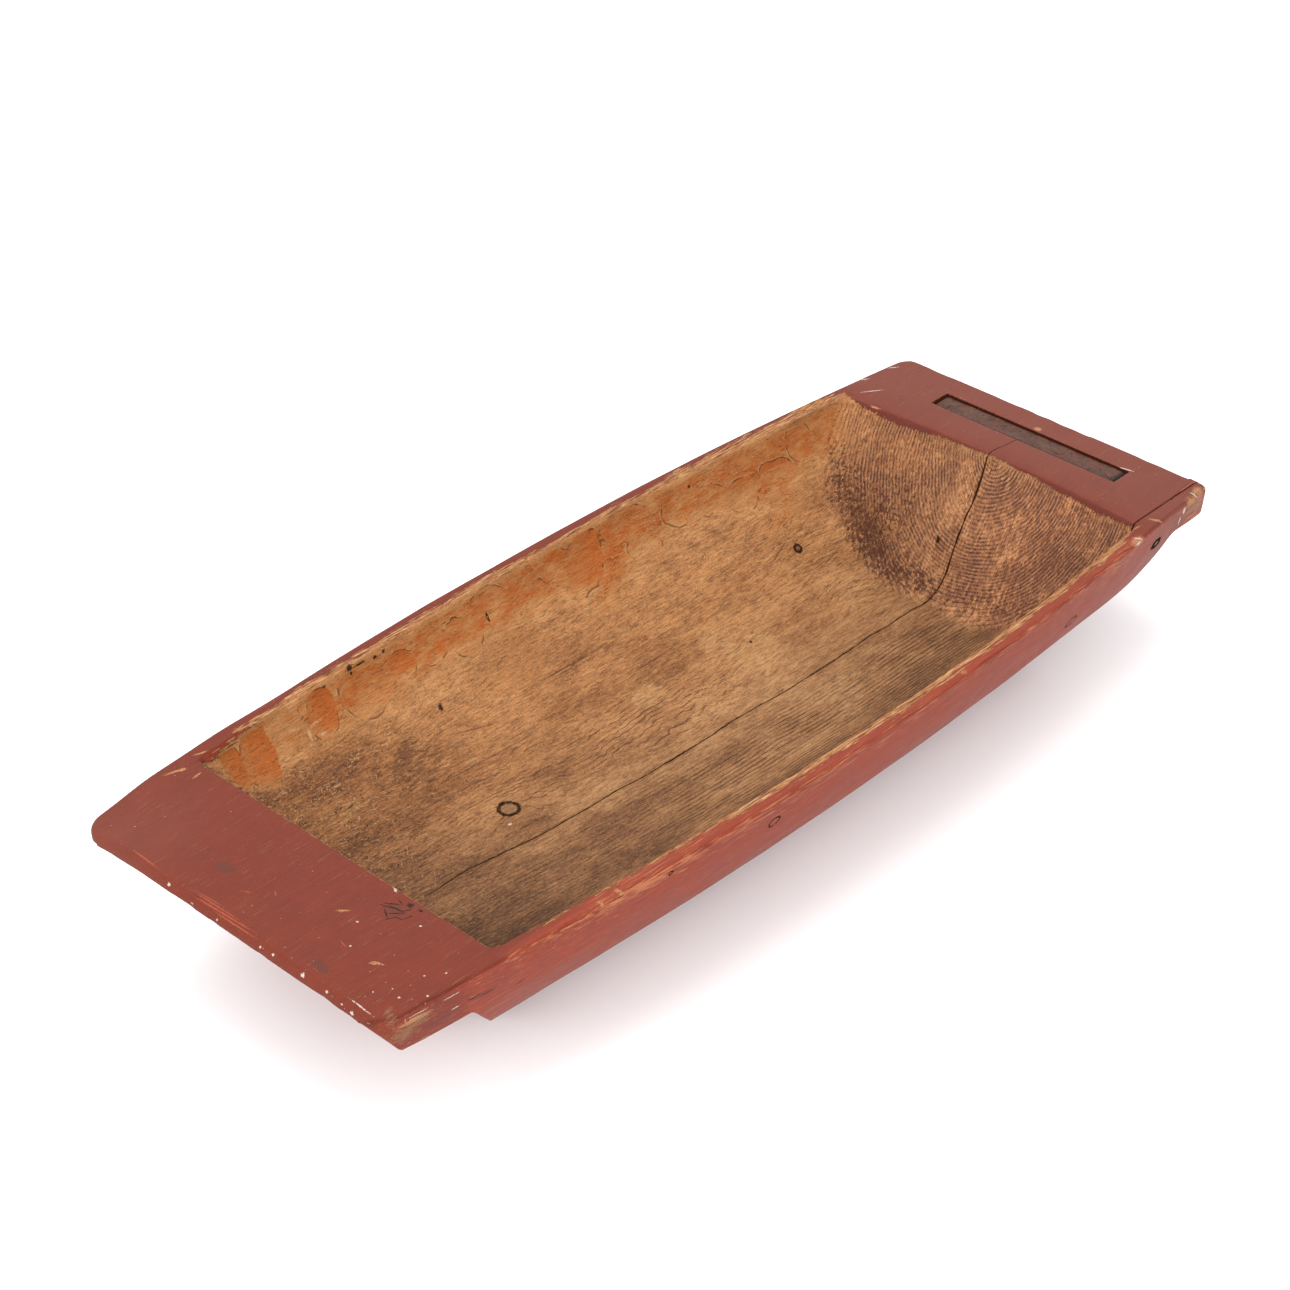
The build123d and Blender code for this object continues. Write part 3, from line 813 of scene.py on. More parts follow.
class Shader:
    """Short names for the shader nodes of one material."""

    def __init__(self, name):
        self.material = bpy.data.materials.new(name)
        self.material.use_nodes = True
        self.tree = self.material.node_tree
        self.surface = self.tree.nodes["Principled BSDF"].inputs
        self.place = self.mapped(self.node("ShaderNodeTexCoord").outputs["Object"],
                                 size=(0.001, 0.001, 0.001))

    def node(self, kind, sockets=None, **settings):
        made = self.tree.nodes.new(kind)
        for key, value in settings.items():
            setattr(made, key, value)
        for key, value in (sockets or {}).items():
            self.feed(made.inputs[key], value)
        return made

    def feed(self, socket, value):
        if isinstance(value, bpy.types.NodeSocket):
            self.tree.links.new(value, socket)
        elif value is not None:
            socket.default_value = value

    def math(self, operation, a, b=None, c=None):
        return self.node("ShaderNodeMath", {0: a, 1: b, 2: c}, operation=operation).outputs[0]

    def chain(self, operation, values):
        total = values[0]
        for value in values[1:]:
            total = self.math(operation, total, value)
        return total

    def add(self, *values):
        return self.chain("ADD", values)

    def times(self, *values):
        return self.chain("MULTIPLY", values)

    def weighted(self, *pairs):
        """Sum of values, each times its weight."""
        return self.add(*(self.times(value, weight) for value, weight in pairs))

    def largest(self, *values):
        return self.chain("MAXIMUM", values)

    def minus(self, a, b):
        return self.math("SUBTRACT", a, b)

    def size_of(self, value):
        return self.math("ABSOLUTE", value)

    def centred(self, value, size):
        """A value about 0.5, moved to swing about 0 and scaled."""
        return self.times(self.minus(value, 0.5), size)

    def vector(self, operation, a, b=None, c=None):
        made = self.node("ShaderNodeVectorMath", {0: a}, operation=operation)
        for index, value in ((1, b), (2, c)):
            self.feed(made.inputs[index], value)
        return made.outputs["Value" if operation == "LENGTH" else "Vector"]

    def axes(self, place):
        return self.node("ShaderNodeSeparateXYZ", {"Vector": place}).outputs

    def field(self, name):
        return self.node("ShaderNodeAttribute", attribute_name=name).outputs["Fac"]

    def mapped(self, place, centre=(0, 0, 0), size=(1, 1, 1), turn=0.0):
        """Places told from a centre, turned about Z, in units of size."""
        return self.node("ShaderNodeMapping", {
            "Vector": place, "Location": centre, "Rotation": (0, 0, math.radians(turn)),
            "Scale": size,
        }, vector_type="TEXTURE").outputs["Vector"]

    def noise(self, size, detail=2.0, rough=0.5, shift=(0, 0, 0), turn=0.0):
        """Noise from 0 to 1 whose cells are size (x, y, z) mm, turned about Z."""
        centre = tuple(-a * b for a, b in zip(shift, size))
        return self.node("ShaderNodeTexNoise", {
            "Vector": self.mapped(self.place, centre, size, turn), "Scale": 1.0,
            "Detail": detail, "Roughness": rough,
        }).outputs["Fac"]

    def between(self, value, low, high, to_low=0.0, to_high=1.0):
        """Smooth step from to_low at low to to_high at high."""
        return self.node("ShaderNodeMapRange", {
            "Value": value, "From Min": low, "From Max": high, "To Min": to_low,
            "To Max": to_high,
        }, interpolation_type="SMOOTHSTEP").outputs["Result"]

    def patches(self, size, detail, rough, shift, low, high, turn=0.0):
        """Noise cut to patches: 0 where it is under low, 1 where it is over high."""
        return self.between(self.noise(size, detail, rough, shift, turn), low, high)

    def mix(self, share, a, b, blend="MIX"):
        made = self.node("ShaderNodeMix", {0: share, 6: a, 7: b}, data_type="RGBA", blend_type=blend)
        made.clamp_factor = True
        return made.outputs[2]

    def coat(self, under, colour, *shares):
        """One colour laid over what is under it, by the product of the shares."""
        return self.mix(self.times(*shares), under, shade(*colour))

    def scaled(self, under, by, share):
        """What is under it multiplied by a share of (red, green, blue)."""
        return self.mix(share, under, (*by, 1), "MULTIPLY")

    def ramp(self, value, *stops):
        """Colours along a value: each stop is its place, red, green and blue."""
        made = self.node("ShaderNodeValToRGB", {"Fac": value})
        band = made.color_ramp
        while len(band.elements) < len(stops):
            band.elements.new(0.5)
        for element, (at, *colour) in zip(band.elements, stops):
            element.position = at
            element.color = shade(*colour)
        return made.outputs["Color"]

    def nearest(self, marks, jitter):
        """Distance to the nearest of a list of oval marks: 1 on its outline."""
        depths = []
        for place, size, *turn in marks:
            around = self.mapped(self.place, place, tuple(2 * v for v in size), *turn)
            depths.append(self.node("ShaderNodeTexGradient", {"Vector": around},
                                    gradient_type="SPHERICAL").outputs["Fac"])
        return self.add(self.math("MULTIPLY_ADD", self.largest(*depths), -2.0, 2.0), jitter)

    def finish(self, colour, rough, specular, height, distance):
        """Feeds the surface; height is in units of distance, in metres."""
        normal = self.node("ShaderNodeBump", {
            "Height": height, "Distance": distance, "Strength": 1.0}).outputs["Normal"]
        for socket, value in (("Base Color", colour), ("Roughness", rough),
                              ("Specular IOR Level", specular), ("Normal", normal)):
            self.feed(self.surface[socket], value)
        return self.material


# ======== bare wood
PITH = (0, 3, 136)               # the growth rings' middle, y and z in mm
RING_WIDTH, LINE_WIDTH = 2.75, 2.8


def latewood(s, place, period, jitter):
    """Thin dark lines one period apart along a length, and the pale wood between them."""
    saw = s.math("FRACT", s.add(s.math("DIVIDE", place, period), jitter))
    early = s.times(s.between(saw, 0.12, 0.3), s.between(saw, 0.56, 0.38))
    return s.times(s.between(saw, 0.62, 0.88), s.between(saw, 1.0, 0.93)), early


def growth_rings(s):
    """Rings about the pith on the end walls, long lines along the floor and sides."""
    warp = s.node("ShaderNodeTexNoise", {
        "Vector": s.mapped(s.place, size=(300, 80, 80)), "Scale": 1.0, "Detail": 2.0,
    }).outputs["Color"]
    bent = s.vector("MULTIPLY_ADD", warp, (0, 16, 16), s.place)
    radius = s.vector("LENGTH", s.vector("MULTIPLY", s.vector("SUBTRACT", bent, PITH), (0, 1, 1)))
    wander = s.centred(s.noise((150, 34, 34), 2.0, shift=(3, 7, 1)), 3.0)
    shake = s.centred(s.noise((12, 3.0, 3.0), 3.0, 0.65, (1, 1, 1)), 0.9)
    uneven = s.weighted((shake, 0.72), (wander, 0.34))
    ring, early = latewood(s, radius, RING_WIDTH, uneven)
    wave = s.weighted((wander, 0.3), (shake, 0.06))
    line, _ = latewood(s, s.field("across"), LINE_WIDTH, wave)
    at_end = s.between(s.field("end_grain"), 0.3, 0.45)
    line = s.times(line, s.field("lines"), s.patches((40, 9, 9), 3.0, 0.6, (6, 2, 2), 0.34, 0.58))
    return s.times(ring, at_end), s.times(early, at_end), line


def wood_look(s):
    """The fields, growth rings and noises that the layers of bare wood share."""
    names = ("inside", "dark", "orange", "stain", "end_grain", "pale", "scratchy", "bowl",
             "crumbly", "tint")
    w = SimpleNamespace(**{name: s.field(name) for name in names})
    w.ring, w.early, w.line = growth_rings(s)
    w.fibre = s.noise((15, 1.4, 1.4), 3.0, 0.7)
    w.cloud = s.noise((80, 34, 34), 3.0, 0.5, (1, 5, 2))
    w.patch = s.noise((17, 8, 8), 4.0, 0.62, (4, 4, 8))
    w.crumb = s.noise((1.9, 1.3, 1.3), 2.0, 0.7, (5, 1, 1))
    w.broken = s.noise((11, 2.6, 2.6), 5.0, 0.72, (2, 8, 8))
    w.dark_hair = s.patches((10, 1.0, 1.0), 3.0, 0.65, (3, 3, 3), 0.57, 0.64)
    w.pale_hair = s.patches((8, 1.0, 1.0), 3.0, 0.65, (7, 1, 3), 0.58, 0.65)
    return w


def clean_pine(s, w):
    """The wood's own colour, with its rings, fibres and weathering."""
    ringed = s.times(w.end_grain, s.between(w.patch, 0.42, 0.6), s.between(w.cloud, 0.38, 0.58))
    strokes = s.noise((30, 1.3, 30), 3.0, 0.7, (2, 5, 4))
    grit = s.noise((4.5, 3.0, 4.5), 4.0, 0.75, (3, 3, 1))
    tone = s.add(
        s.centred(w.fibre, 0.95), s.centred(w.cloud, 1.05), s.centred(w.patch, 0.6),
        s.centred(w.crumb, 0.8), s.times(w.dark, 0.42), s.times(w.pale, -0.12),
        s.times(w.ring, s.add(0.2, s.times(ringed, 0.48))), s.times(w.line, 0.7),
        s.times(s.centred(strokes, 2.0), w.end_grain),
        s.times(s.centred(grit, 1.0), w.end_grain, s.add(2.5, s.times(w.crumbly, 2.6))), 0.33,
    )
    wood = s.ramp(tone, (0.0, 226, 174, 122), (0.25, 200, 147, 99), (0.5, 170, 119, 78),
                  (0.75, 136, 92, 61), (1.0, 94, 62, 42))
    wood = s.coat(wood, (92, 58, 38), w.dark_hair, s.add(0.14, s.times(w.line, 0.3)))
    wood = s.coat(wood, (226, 178, 130), w.pale_hair, 0.3)
    wood = s.scaled(wood, (1.05, 0.91, 0.78), s.field("warm"))
    # painted light: the upper left wall made lighter
    wood = s.scaled(wood, (1.2, 1.22, 1.24), s.field("wall_lit"))
    # painted light: the strapped end's wall made lighter and more golden
    wood = s.scaled(wood, (1.68, 1.46, 1.46), s.field("end_lit"))
    weathered = s.patches((34, 22, 22), 4.0, 0.65, (8, 5, 5), 0.4, 0.6)
    wood = s.coat(wood, (138, 84, 64), w.end_grain, s.add(0.15, s.times(weathered, 0.32)))
    at_rings = s.add(ringed, s.times(w.end_grain, 0.25))
    wood = s.coat(wood, (222, 166, 132), w.early, at_rings, 0.6)
    worn_pale = s.between(s.add(w.pale, s.centred(w.broken, 2.6)), 0.4, 0.62)
    straw = s.mix(s.between(w.broken, 0.4, 0.6), shade(206, 148, 92), shade(236, 184, 126))
    wood = s.mix(s.times(worn_pale, 0.62), wood, straw)
    smudge = s.patches((15, 6, 6), 5.0, 0.7, (3, 5, 1), 0.55, 0.63)
    return s.coat(wood, (126, 82, 62), smudge, w.inside, 0.42)


def oiled_cuts(s, w, wood):
    """Oiled orange gouge cuts, edged by a dark line of painted shade just inside each cut and a
    paler lip.
    """
    w.within_cut = s.between(s.add(w.bowl, s.centred(w.broken, 0.3)), -0.03, 0.03)
    oil = s.add(w.orange, s.centred(w.patch, 0.8), s.centred(w.fibre, 0.35))
    in_cut = s.add(w.tint, s.centred(w.patch, 0.5), s.centred(w.fibre, 0.7))
    w.oil = s.largest(s.between(oil, 0.18, 1.0), s.times(w.within_cut, in_cut))
    amber = s.mix(s.between(w.oil, 0.35, 0.9), shade(222, 152, 90), shade(214, 110, 40))
    wood = s.mix(s.between(w.oil, 0.0, 0.6, 0.0, 0.9), wood, amber)
    crisp = s.patches((16, 10, 10), 2.0, 0.5, (2, 6, 6), 0.5, 0.62)
    # painted shade: a dark line along each gouge's edge
    away = s.size_of(s.minus(s.add(w.bowl, s.centred(w.crumb, 0.1)), 0.03))
    w.crease = s.times(s.between(away, 0.11, 0.03), crisp)
    wood = s.coat(wood, (124, 62, 28), w.crease, 0.7)
    lip = s.times(s.between(w.bowl, -0.22, -0.06), s.between(w.bowl, 0.0, -0.05), crisp)
    return s.coat(wood, (236, 184, 128), lip, 0.6)


def stained(s, w, wood):
    """Brown stains with broken edges, and pits where the wood has crumbled."""
    brown = s.add(w.stain, s.times(w.crumbly, 0.6), s.centred(w.broken, 3.0))
    deep = s.between(s.add(w.broken, s.times(w.stain, 0.16)), 0.46, 0.66)
    deep = s.mix(deep, shade(146, 88, 54), shade(98, 57, 36))
    wood = s.mix(s.times(s.between(brown, 0.25, 0.95), 0.62), wood, deep)
    pitted = s.centred(s.noise((4.5, 3.2, 3.2), 4.0, 0.75, (6, 6, 2)), 2.6)
    pits = s.between(s.add(s.times(w.crumbly, 0.5), pitted), 0.38, 0.56)
    return s.coat(wood, (88, 48, 32), pits, s.between(w.crumbly, 0.1, 0.4), 0.75)


def scratches(s, long, thin, shift, low, high, turn):
    """Sparse short lines that lie turn degrees from the trough's length."""
    return s.patches((long, thin, thin * 1.6), 2.0, 0.55, shift, low, high, turn)


def scratched(s, w, wood):
    """Grime, short cuts across the grain both dark and pale, flecks and specks."""
    uncut = s.between(w.within_cut, 1.0, 0.0, 0.15)
    rubbed = s.times(w.scratchy, s.between(w.patch, 0.42, 0.6), uncut)
    grime = s.noise((6, 2.6, 2.6), 5.0, 0.75, (6, 3, 9))
    dirt = s.between(s.add(grime, s.times(w.dark, 0.1), s.times(w.scratchy, 0.05)), 0.6, 0.76)
    wood = s.coat(wood, (90, 62, 46), dirt, w.inside, 0.5)
    dark_cut = s.largest(scratches(s, 12, 1.3, (1, 4, 2), 0.6, 0.66, 12),
                         scratches(s, 7, 1.2, (5, 2, 7), 0.63, 0.69, -50))
    pale_cut = s.largest(scratches(s, 14, 1.3, (3, 9, 2), 0.59, 0.66, -12),
                         scratches(s, 8, 1.2, (8, 1, 4), 0.62, 0.68, 50))
    w.dark_cut = s.times(dark_cut, rubbed)
    wood = s.coat(wood, (84, 54, 38), w.dark_cut, 0.6)
    wood = s.coat(wood, (226, 176, 126), pale_cut, rubbed, 0.75)
    fleck = s.patches((2.6, 1.6, 1.6), 3.0, 0.65, (8, 8, 3), 0.6, 0.68)
    more = s.add(0.3, s.times(s.add(w.pale, rubbed), 0.5))
    wood = s.coat(wood, (236, 190, 138), fleck, more, w.inside)
    speck = s.patches((2.0, 1.5, 1.5), 3.0, 0.65, (4, 1, 7), 0.62, 0.7)
    return s.coat(wood, (80, 52, 38), speck, s.add(0.2, s.times(rubbed, 0.5)), w.inside)


def bare_wood(s, path):
    """Old pine of the hollow: its colour, gloss and relief."""
    w = wood_look(s)
    wood = clean_pine(s, w)
    wood = oiled_cuts(s, w, wood)
    wood = stained(s, w, wood)
    wood = scratched(s, w, wood)
    # fresher, torn wood along the worn rims
    torn = s.noise((16, 1.2, 1.2), 4.0, 0.72, (7, 7, 7))
    fresh = s.between(path, 1.6, -0.6)
    wood = s.mix(s.times(fresh, 0.85), wood, s.ramp(
        torn, (0.38, 104, 54, 36), (0.44, 176, 104, 62), (0.52, 220, 146, 92),
        (0.62, 250, 200, 144)))
    rough = s.minus(0.74, s.times(w.oil, 0.2))
    height = s.weighted(
        (w.ring, 0.5), (w.line, 0.2), (w.fibre, 0.5), (w.crumb, 0.35), (w.patch, 0.5),
        (w.dark_hair, -0.25), (w.crease, -0.6), (w.dark_cut, -0.4), (s.times(torn, fresh), 0.8))
    return wood, rough, height


# ======== red paint
def red_paint(s, path, scuff):
    """Worn iron-red paint: its colour, gloss and relief."""
    brush = s.noise((60, 2.2, 2.2), 4.0, 0.65, (2, 2, 6))
    mottle = s.noise((26, 20, 20), 4.0, 0.6, (9, 1, 5))
    fine = s.noise((1.6, 1.2, 1.2), 2.0, 0.7, (1, 1, 9))
    level, fray = s.field("level"), s.field("fray")
    tone = s.add(s.centred(brush, 0.3), s.centred(mottle, 0.45), s.centred(fine, 0.35), 0.5)
    # painted light: flat is the red of level faces and upright a lighter copy of it for the sides
    flat = s.ramp(tone, (0.15, 112, 42, 25), (0.45, 137, 55, 34), (0.6, 145, 61, 39),
                  (0.9, 170, 80, 52))
    upright = s.ramp(tone, (0.15, 138, 48, 32), (0.45, 166, 68, 44), (0.6, 178, 76, 50),
                     (0.9, 206, 92, 54))
    streak = s.patches((46, 2.2, 2.2), 3.0, 0.6, (8, 2, 2), 0.52, 0.68)
    upright = s.coat(upright, (206, 84, 54), streak, 0.55)
    thin = s.patches((22, 1.3, 1.3), 3.0, 0.65, (5, 3, 8), 0.57, 0.64)
    upright = s.coat(upright, (216, 100, 70), thin, 0.45)
    # painted reflection of the pale floor: a pinkish veil over the lower upright paint
    floor_reflection = s.patches((70, 16, 10), 3.0, 0.6, (3, 3, 7), 0.44, 0.64)
    upright = s.coat(upright, (160, 96, 88), floor_reflection, s.field("low"), 0.6)
    red = s.mix(level, upright, flat)
    # painted shade: the paint darkens where it rolls over the edge into the hollow
    red = s.coat(red, (110, 40, 30), s.between(path, -0.6, 1.6), 0.8)
    # painted light: paint facing downwards made lighter
    red = s.scaled(red, (1.15, 1.2, 1.28), s.field("under"))
    # painted shade: the sides darkened, most on the raked ends under the ledges
    red = s.scaled(red, (0.74, 0.74, 0.76), s.field("painted_shade"))
    # painted sheen, partly faded paint: paler, pinker red at the strapped end and the plain ledge's
    # left
    red = s.coat(red, (150, 86, 72), s.field("sheen_and_fading"), s.add(0.5, s.centred(mottle, 0.8)))
    # where the side's top edge is frayed, dark seams and rubs down to paler wood
    seam = s.patches((34, 1.5, 1.5), 3.0, 0.65, (1, 8, 3), 0.52, 0.6)
    red = s.coat(red, (126, 44, 34), seam, fray, 0.9)
    rub = s.noise((30, 1.1, 1.1), 4.0, 0.7, (4, 9, 2))
    rubs = s.between(s.add(rub, s.times(s.add(scuff, fray), 0.12)), 0.61, 0.67)
    red = s.coat(red, (226, 140, 94), rubs, s.minus(1.0, s.times(level, 0.93)), 0.85)
    rough = s.add(0.5, s.centred(mottle, 0.3), s.centred(fine, 0.2))
    height = s.add(0.3, s.times(brush, 0.25), s.times(fine, 0.14), s.times(rubs, -0.1))
    return red, rough, height


# ======== marks
# Marks are ovals: place and half sizes in mm, and for some a turn in degrees.
SMUDGES = [
    ((-430, -79, 127), (4, 9, 5), -10), ((-407, 42, 127), (6, 8, 5), 20),
    ((-360, -74, 127), (4, 7, 5)), ((-359, -154.4, 105), (10, 6, 2.6)),
    ((-400, -154, 104), (20, 6, 2)),
]
TAN_CHIPS = [
    ((-383.5, -48, 128), (4.2, 0.9, 3), -47), ((-403, -103, 128), (0.9, 4.2, 3), 20),
    ((-405.5, -101, 128), (0.7, 3.0, 3), 24), ((-363, 148.5, 127), (7.5, 1.1, 3), -16),
    ((-358, 146.5, 127), (3, 1.7, 3), -10), ((-336, 152.5, 127.5), (5, 0.9, 3), -18),
    ((-355, 134, 127.5), (4, 0.8, 3), 10), ((-334, -154, 122), (3, 4, 1.4)),
    ((-245.5, -164, 126), (2.2, 4, 0.8)), ((-262.6, -164, 126), (1.4, 4, 0.7)),
    ((108, -173, 126), (3, 4, 0.8)), ((299.7, -161, 125), (4, 5, 1.0)),
    ((371.5, -155, 127), (1.5, 5.5, 4), 22), ((326, -152.5, 127.5), (6, 1.6, 3)),
    ((316, -156, 127.5), (9, 0.9, 3)), ((421.7, -2.5, 127), (2.6, 3.4, 4)),
    ((358.8, 118.5, 127), (0.8, 4.6, 3), 8), ((430.5, -153.5, 126), (6, 4, 8), 20),
    ((417, -156.5, 125), (6, 4, 3.6)), ((338, -162, 127), (7, 4, 4)),
    ((-416, -150.6, 118), (13, 4, 2.2), -12),
    ((274, -156, 127), (7, 2, 3), -6), ((352, -150, 127.5), (5, 0.8, 3), -8),
]
RED_RUBS = [
    ((-436.4, 16, 127.6), (0.5, 22, 3), 2), ((-438.2, 6, 127.5), (0.6, 27, 3), 3),
    ((-439.8, -6, 127.2), (0.5, 20, 3), 1), ((-434.8, 24, 127.8), (0.4, 13, 3), 4),
    ((-437.2, 88, 126.6), (0.6, 15, 3), -3), ((-413.5, 12, 128), (0.5, 3.4, 3), 30),
    ((-402, -3, 128), (0.5, 2.6, 3), -34), ((-405.5, -73, 128), (0.5, 4, 3), -13),
]
PALE_CUTS = [
    ((-258.4, 145.5, 107.8), (6.6, 3, 1.3)), ((-235.3, 145.2, 103.8), (7.4, 3, 1.5)),
    ((-234, 140.5, 95.6), (3.4, 3, 1.1)), ((-246, 142, 100), (1.0, 4, 6)),
]
OLIVE_CHIPS = [
    ((-424, -148, 110), (9, 6, 6)), ((-414, -151, 114), (9, 5, 3.4)),
    ((-430, -143, 124), (3, 7, 3), -30), ((423, -158, 118), (8, 6, 3.5)),
]
WHITE_CHIPS = [
    ((-423.7, -150.8, 121.8), (0.8, 0.8, 0.8)), ((-438, -146, 119), (0.8, 0.8, 0.8)),
    ((-435.5, -147.6, 117), (0.7, 0.7, 0.7)), ((-415.6, -136.5, 127.5), (0.8, 0.8, 1)),
    ((-403, -148.8, 127.8), (0.8, 0.8, 1)), ((-391, -133.3, 128), (0.7, 0.7, 0.8)),
    ((-380, -141.5, 128), (0.7, 0.7, 0.8)), ((-415, -151.8, 122.2), (8.5, 2, 0.35)),
    ((-383, -153, 107.6), (3, 2, 0.5)), ((-388, -154.8, 120.8), (7, 3, 0.35)),
    ((-437.5, -127, 127.5), (0.6, 11, 2), -2), ((-441.7, 57.9, 125), (1, 1.4, 1.2)),
    ((-345.5, -57, 128), (1.1, 2.6, 3), -30), ((-441.7, -74.7, 125.4), (1.3, 1.6, 1.4)),
    ((-441.8, -97.2, 125), (1, 1.2, 1.2)), ((-442.8, 8.5, 123.6), (1, 0.9, 0.9)),
    ((-443, 33.6, 123.2), (1, 0.9, 0.9)), ((-442.1, -34, 124.9), (1, 0.9, 0.9)),
    ((-441.7, -46.1, 125.4), (1, 1, 1)), ((-442.3, -112, 123.9), (1, 0.9, 0.9)),
    ((-442.8, -121.5, 122.5), (1.2, 1.7, 1.5)), ((-442.1, -136.1, 122.4), (1, 1, 1)),
    ((-436.1, -145.1, 126.4), (1, 1, 1)), ((-412.9, -127.6, 128), (0.7, 0.7, 1)),
    ((-423.4, -120.6, 128), (0.8, 0.8, 1)), ((-427.2, -130.4, 128), (0.7, 0.7, 1)),
    ((-384.5, -63.3, 128), (0.8, 0.8, 1)), ((-403.8, -77.8, 128), (0.8, 0.8, 1)),
    ((-359.6, -96.1, 128), (0.8, 0.8, 1)), ((-418.9, 121.9, 127), (0.8, 0.8, 1)),
    ((419, -93, 128), (0.7, 6, 2), 12),
    ((424, -154.5, 126.5), (0.9, 3.4, 4)), ((408, -157.5, 121), (1.4, 3, 3.4), 30),
    ((404.5, -156.5, 113), (0.8, 3, 4)), ((337, -163, 126), (4, 3, 0.7)),
    ((341, -160, 127.5), (0.8, 4, 2), 30), ((377, 137.5, 127.8), (9, 0.5, 2), -34),
    ((421, 150, 127.6), (5, 0.5, 2), -34), ((388, 155, 127.6), (4.5, 0.6, 2), -33),
    ((336, 97, 93), (1.6, 2.2, 2.2)), ((-160.6, 27.8, 32), (1.8, 1.1, 3), 20),
]
BLACK_MARKS = [
    ((-357, -66, 128), (0.7, 5.5, 3), 34), ((-358.5, -72, 128), (0.7, 7, 3), 8),
    ((-362, -75, 128), (0.6, 6, 3), 46), ((-366, -70, 128), (0.6, 5, 3), -30),
    ((-361, -66, 128), (0.5, 6, 3), 20), ((-355, -78, 128), (0.5, 5, 3), 60),
    ((-364, -80, 128), (0.5, 4, 3), 15), ((-368, -76, 128), (0.5, 4.5, 3), 62),
    ((-352, -69, 128), (0.5, 4, 3), -20), ((-359, -84, 128), (0.5, 3.4, 3), 80),
    ((-350, -76, 128), (2.2, 2.6, 3)), ((-349, -85, 128), (1.2, 2, 3)),
    ((-193.5, 157.4, 125), (3.0, 3, 2.6)), ((-184, 157.2, 123.4), (6, 3, 1.0)),
    ((-193, 155.6, 120.2), (1.3, 3, 1.6)), ((-168.4, 157.4, 121.9), (2.6, 3, 1.2)),
    ((-159.2, 158.2, 122.6), (1.6, 3, 1.5)), ((-220.4, 154, 123), (2, 3, 0.9)),
    ((-131.8, 128.8, 71.7), (2.4, 2.8, 3.0)), ((-134, 130, 76), (1.0, 1.6, 2.4)),
    ((173.3, 157.6, 115.7), (1.5, 3, 1.5)), ((-368, -154.5, 107.4), (6, 4, 0.8)),
    ((-356, -154.6, 104.6), (7, 4, 0.5)), ((-327, -154, 94), (4.2, 4, 0.9)),
    ((145.8, 65.2, 22.4), (1.5, 1.1, 9)), ((-342, -32, 121), (3, 5, 3)),
]
SCORES = [
    ((377.5, 86, 127.5), (18, 0.35, 3), -4), ((377, 82.5, 127.5), (18, 0.4, 3), -8),
    ((-130, 87.5, 43), (68, 0.45, 14)), ((-112, 109, 53.5), (30, 0.5, 8), -9),
    ((-238, -4, 38), (26, 0.5, 6), -22),
    ((60, 92, 34), (22, 0.6, 8), 2), ((-18, 116, 53), (40, 0.5, 5)),
    ((318, 78, 60), (16, 0.8, 20)), ((230, 110, 48), (26, 0.5, 7), 16),
    ((270, 88, 35), (22, 0.5, 9), 10),
]

# Knots: place, half sizes and turn of the outline in mm and degrees, how thick the
# outline is as a share of that size, and the colour of the middle where it differs.
KNOTS = [
    ((-147.3, 42.4, 31), (8.4, 7.4, 30), 20, 0.24, (168, 130, 98)),
    ((248.9, 105.5, 45), (3.2, 2.6, 20), 0, 0.5, (110, 86, 74)),
    ((-55.9, 154.2, 103.5), (0.9, 3, 3), 0, 0.5, None),
    ((316.8, 16.1, 62.3), (3, 2.2, 4), 0, 0.7, (90, 62, 50)),
    ((-97.7, -170.8, 103.8), (5.2, 12, 4.2), 0, 0.2, None),
    ((-201.4, -168.5, 119), (1.8, 9, 1.6), 0, 0.4, None),
    ((261.4, -159.4, 87.9), (6.5, 14, 5.0), 0, 0.15, None),
    ((372.2, -158.0, 107.0), (5.2, 9, 3.4), 0, 0.7, (84, 68, 60)),
]


# ======== the body's and the iron's materials
def painted_cover(s, scuff):
    """Where the paint still lies, from 0 to 1, and the long streaky noise it frays by."""
    streak = s.noise((26, 1.0, 1.0), 4.0, 0.72, (5, 5, 5))
    nibble = s.noise((5, 1.6, 1.6), 4.0, 0.7, (5, 7, 5))
    edge_wide = s.noise((36, 2.8, 2.8), 3.0, 0.6, (6, 5, 1))
    ragged_by = s.add(s.centred(streak, 4.0), s.centred(nibble, 2.0), s.centred(edge_wide, 3.2))
    edge = s.add(s.field("paint"), s.times(ragged_by, s.field("ragged")))
    rubbed = s.add(s.centred(streak, 12.0), s.centred(edge_wide, 6.0), s.times(scuff, 5.0), -1.3)
    worn = s.between(s.minus(rubbed, s.field("arris")), -0.3, 0.5)
    return s.times(s.between(edge, -0.15, 0.25), s.minus(1.0, s.times(worn, 0.92))), streak


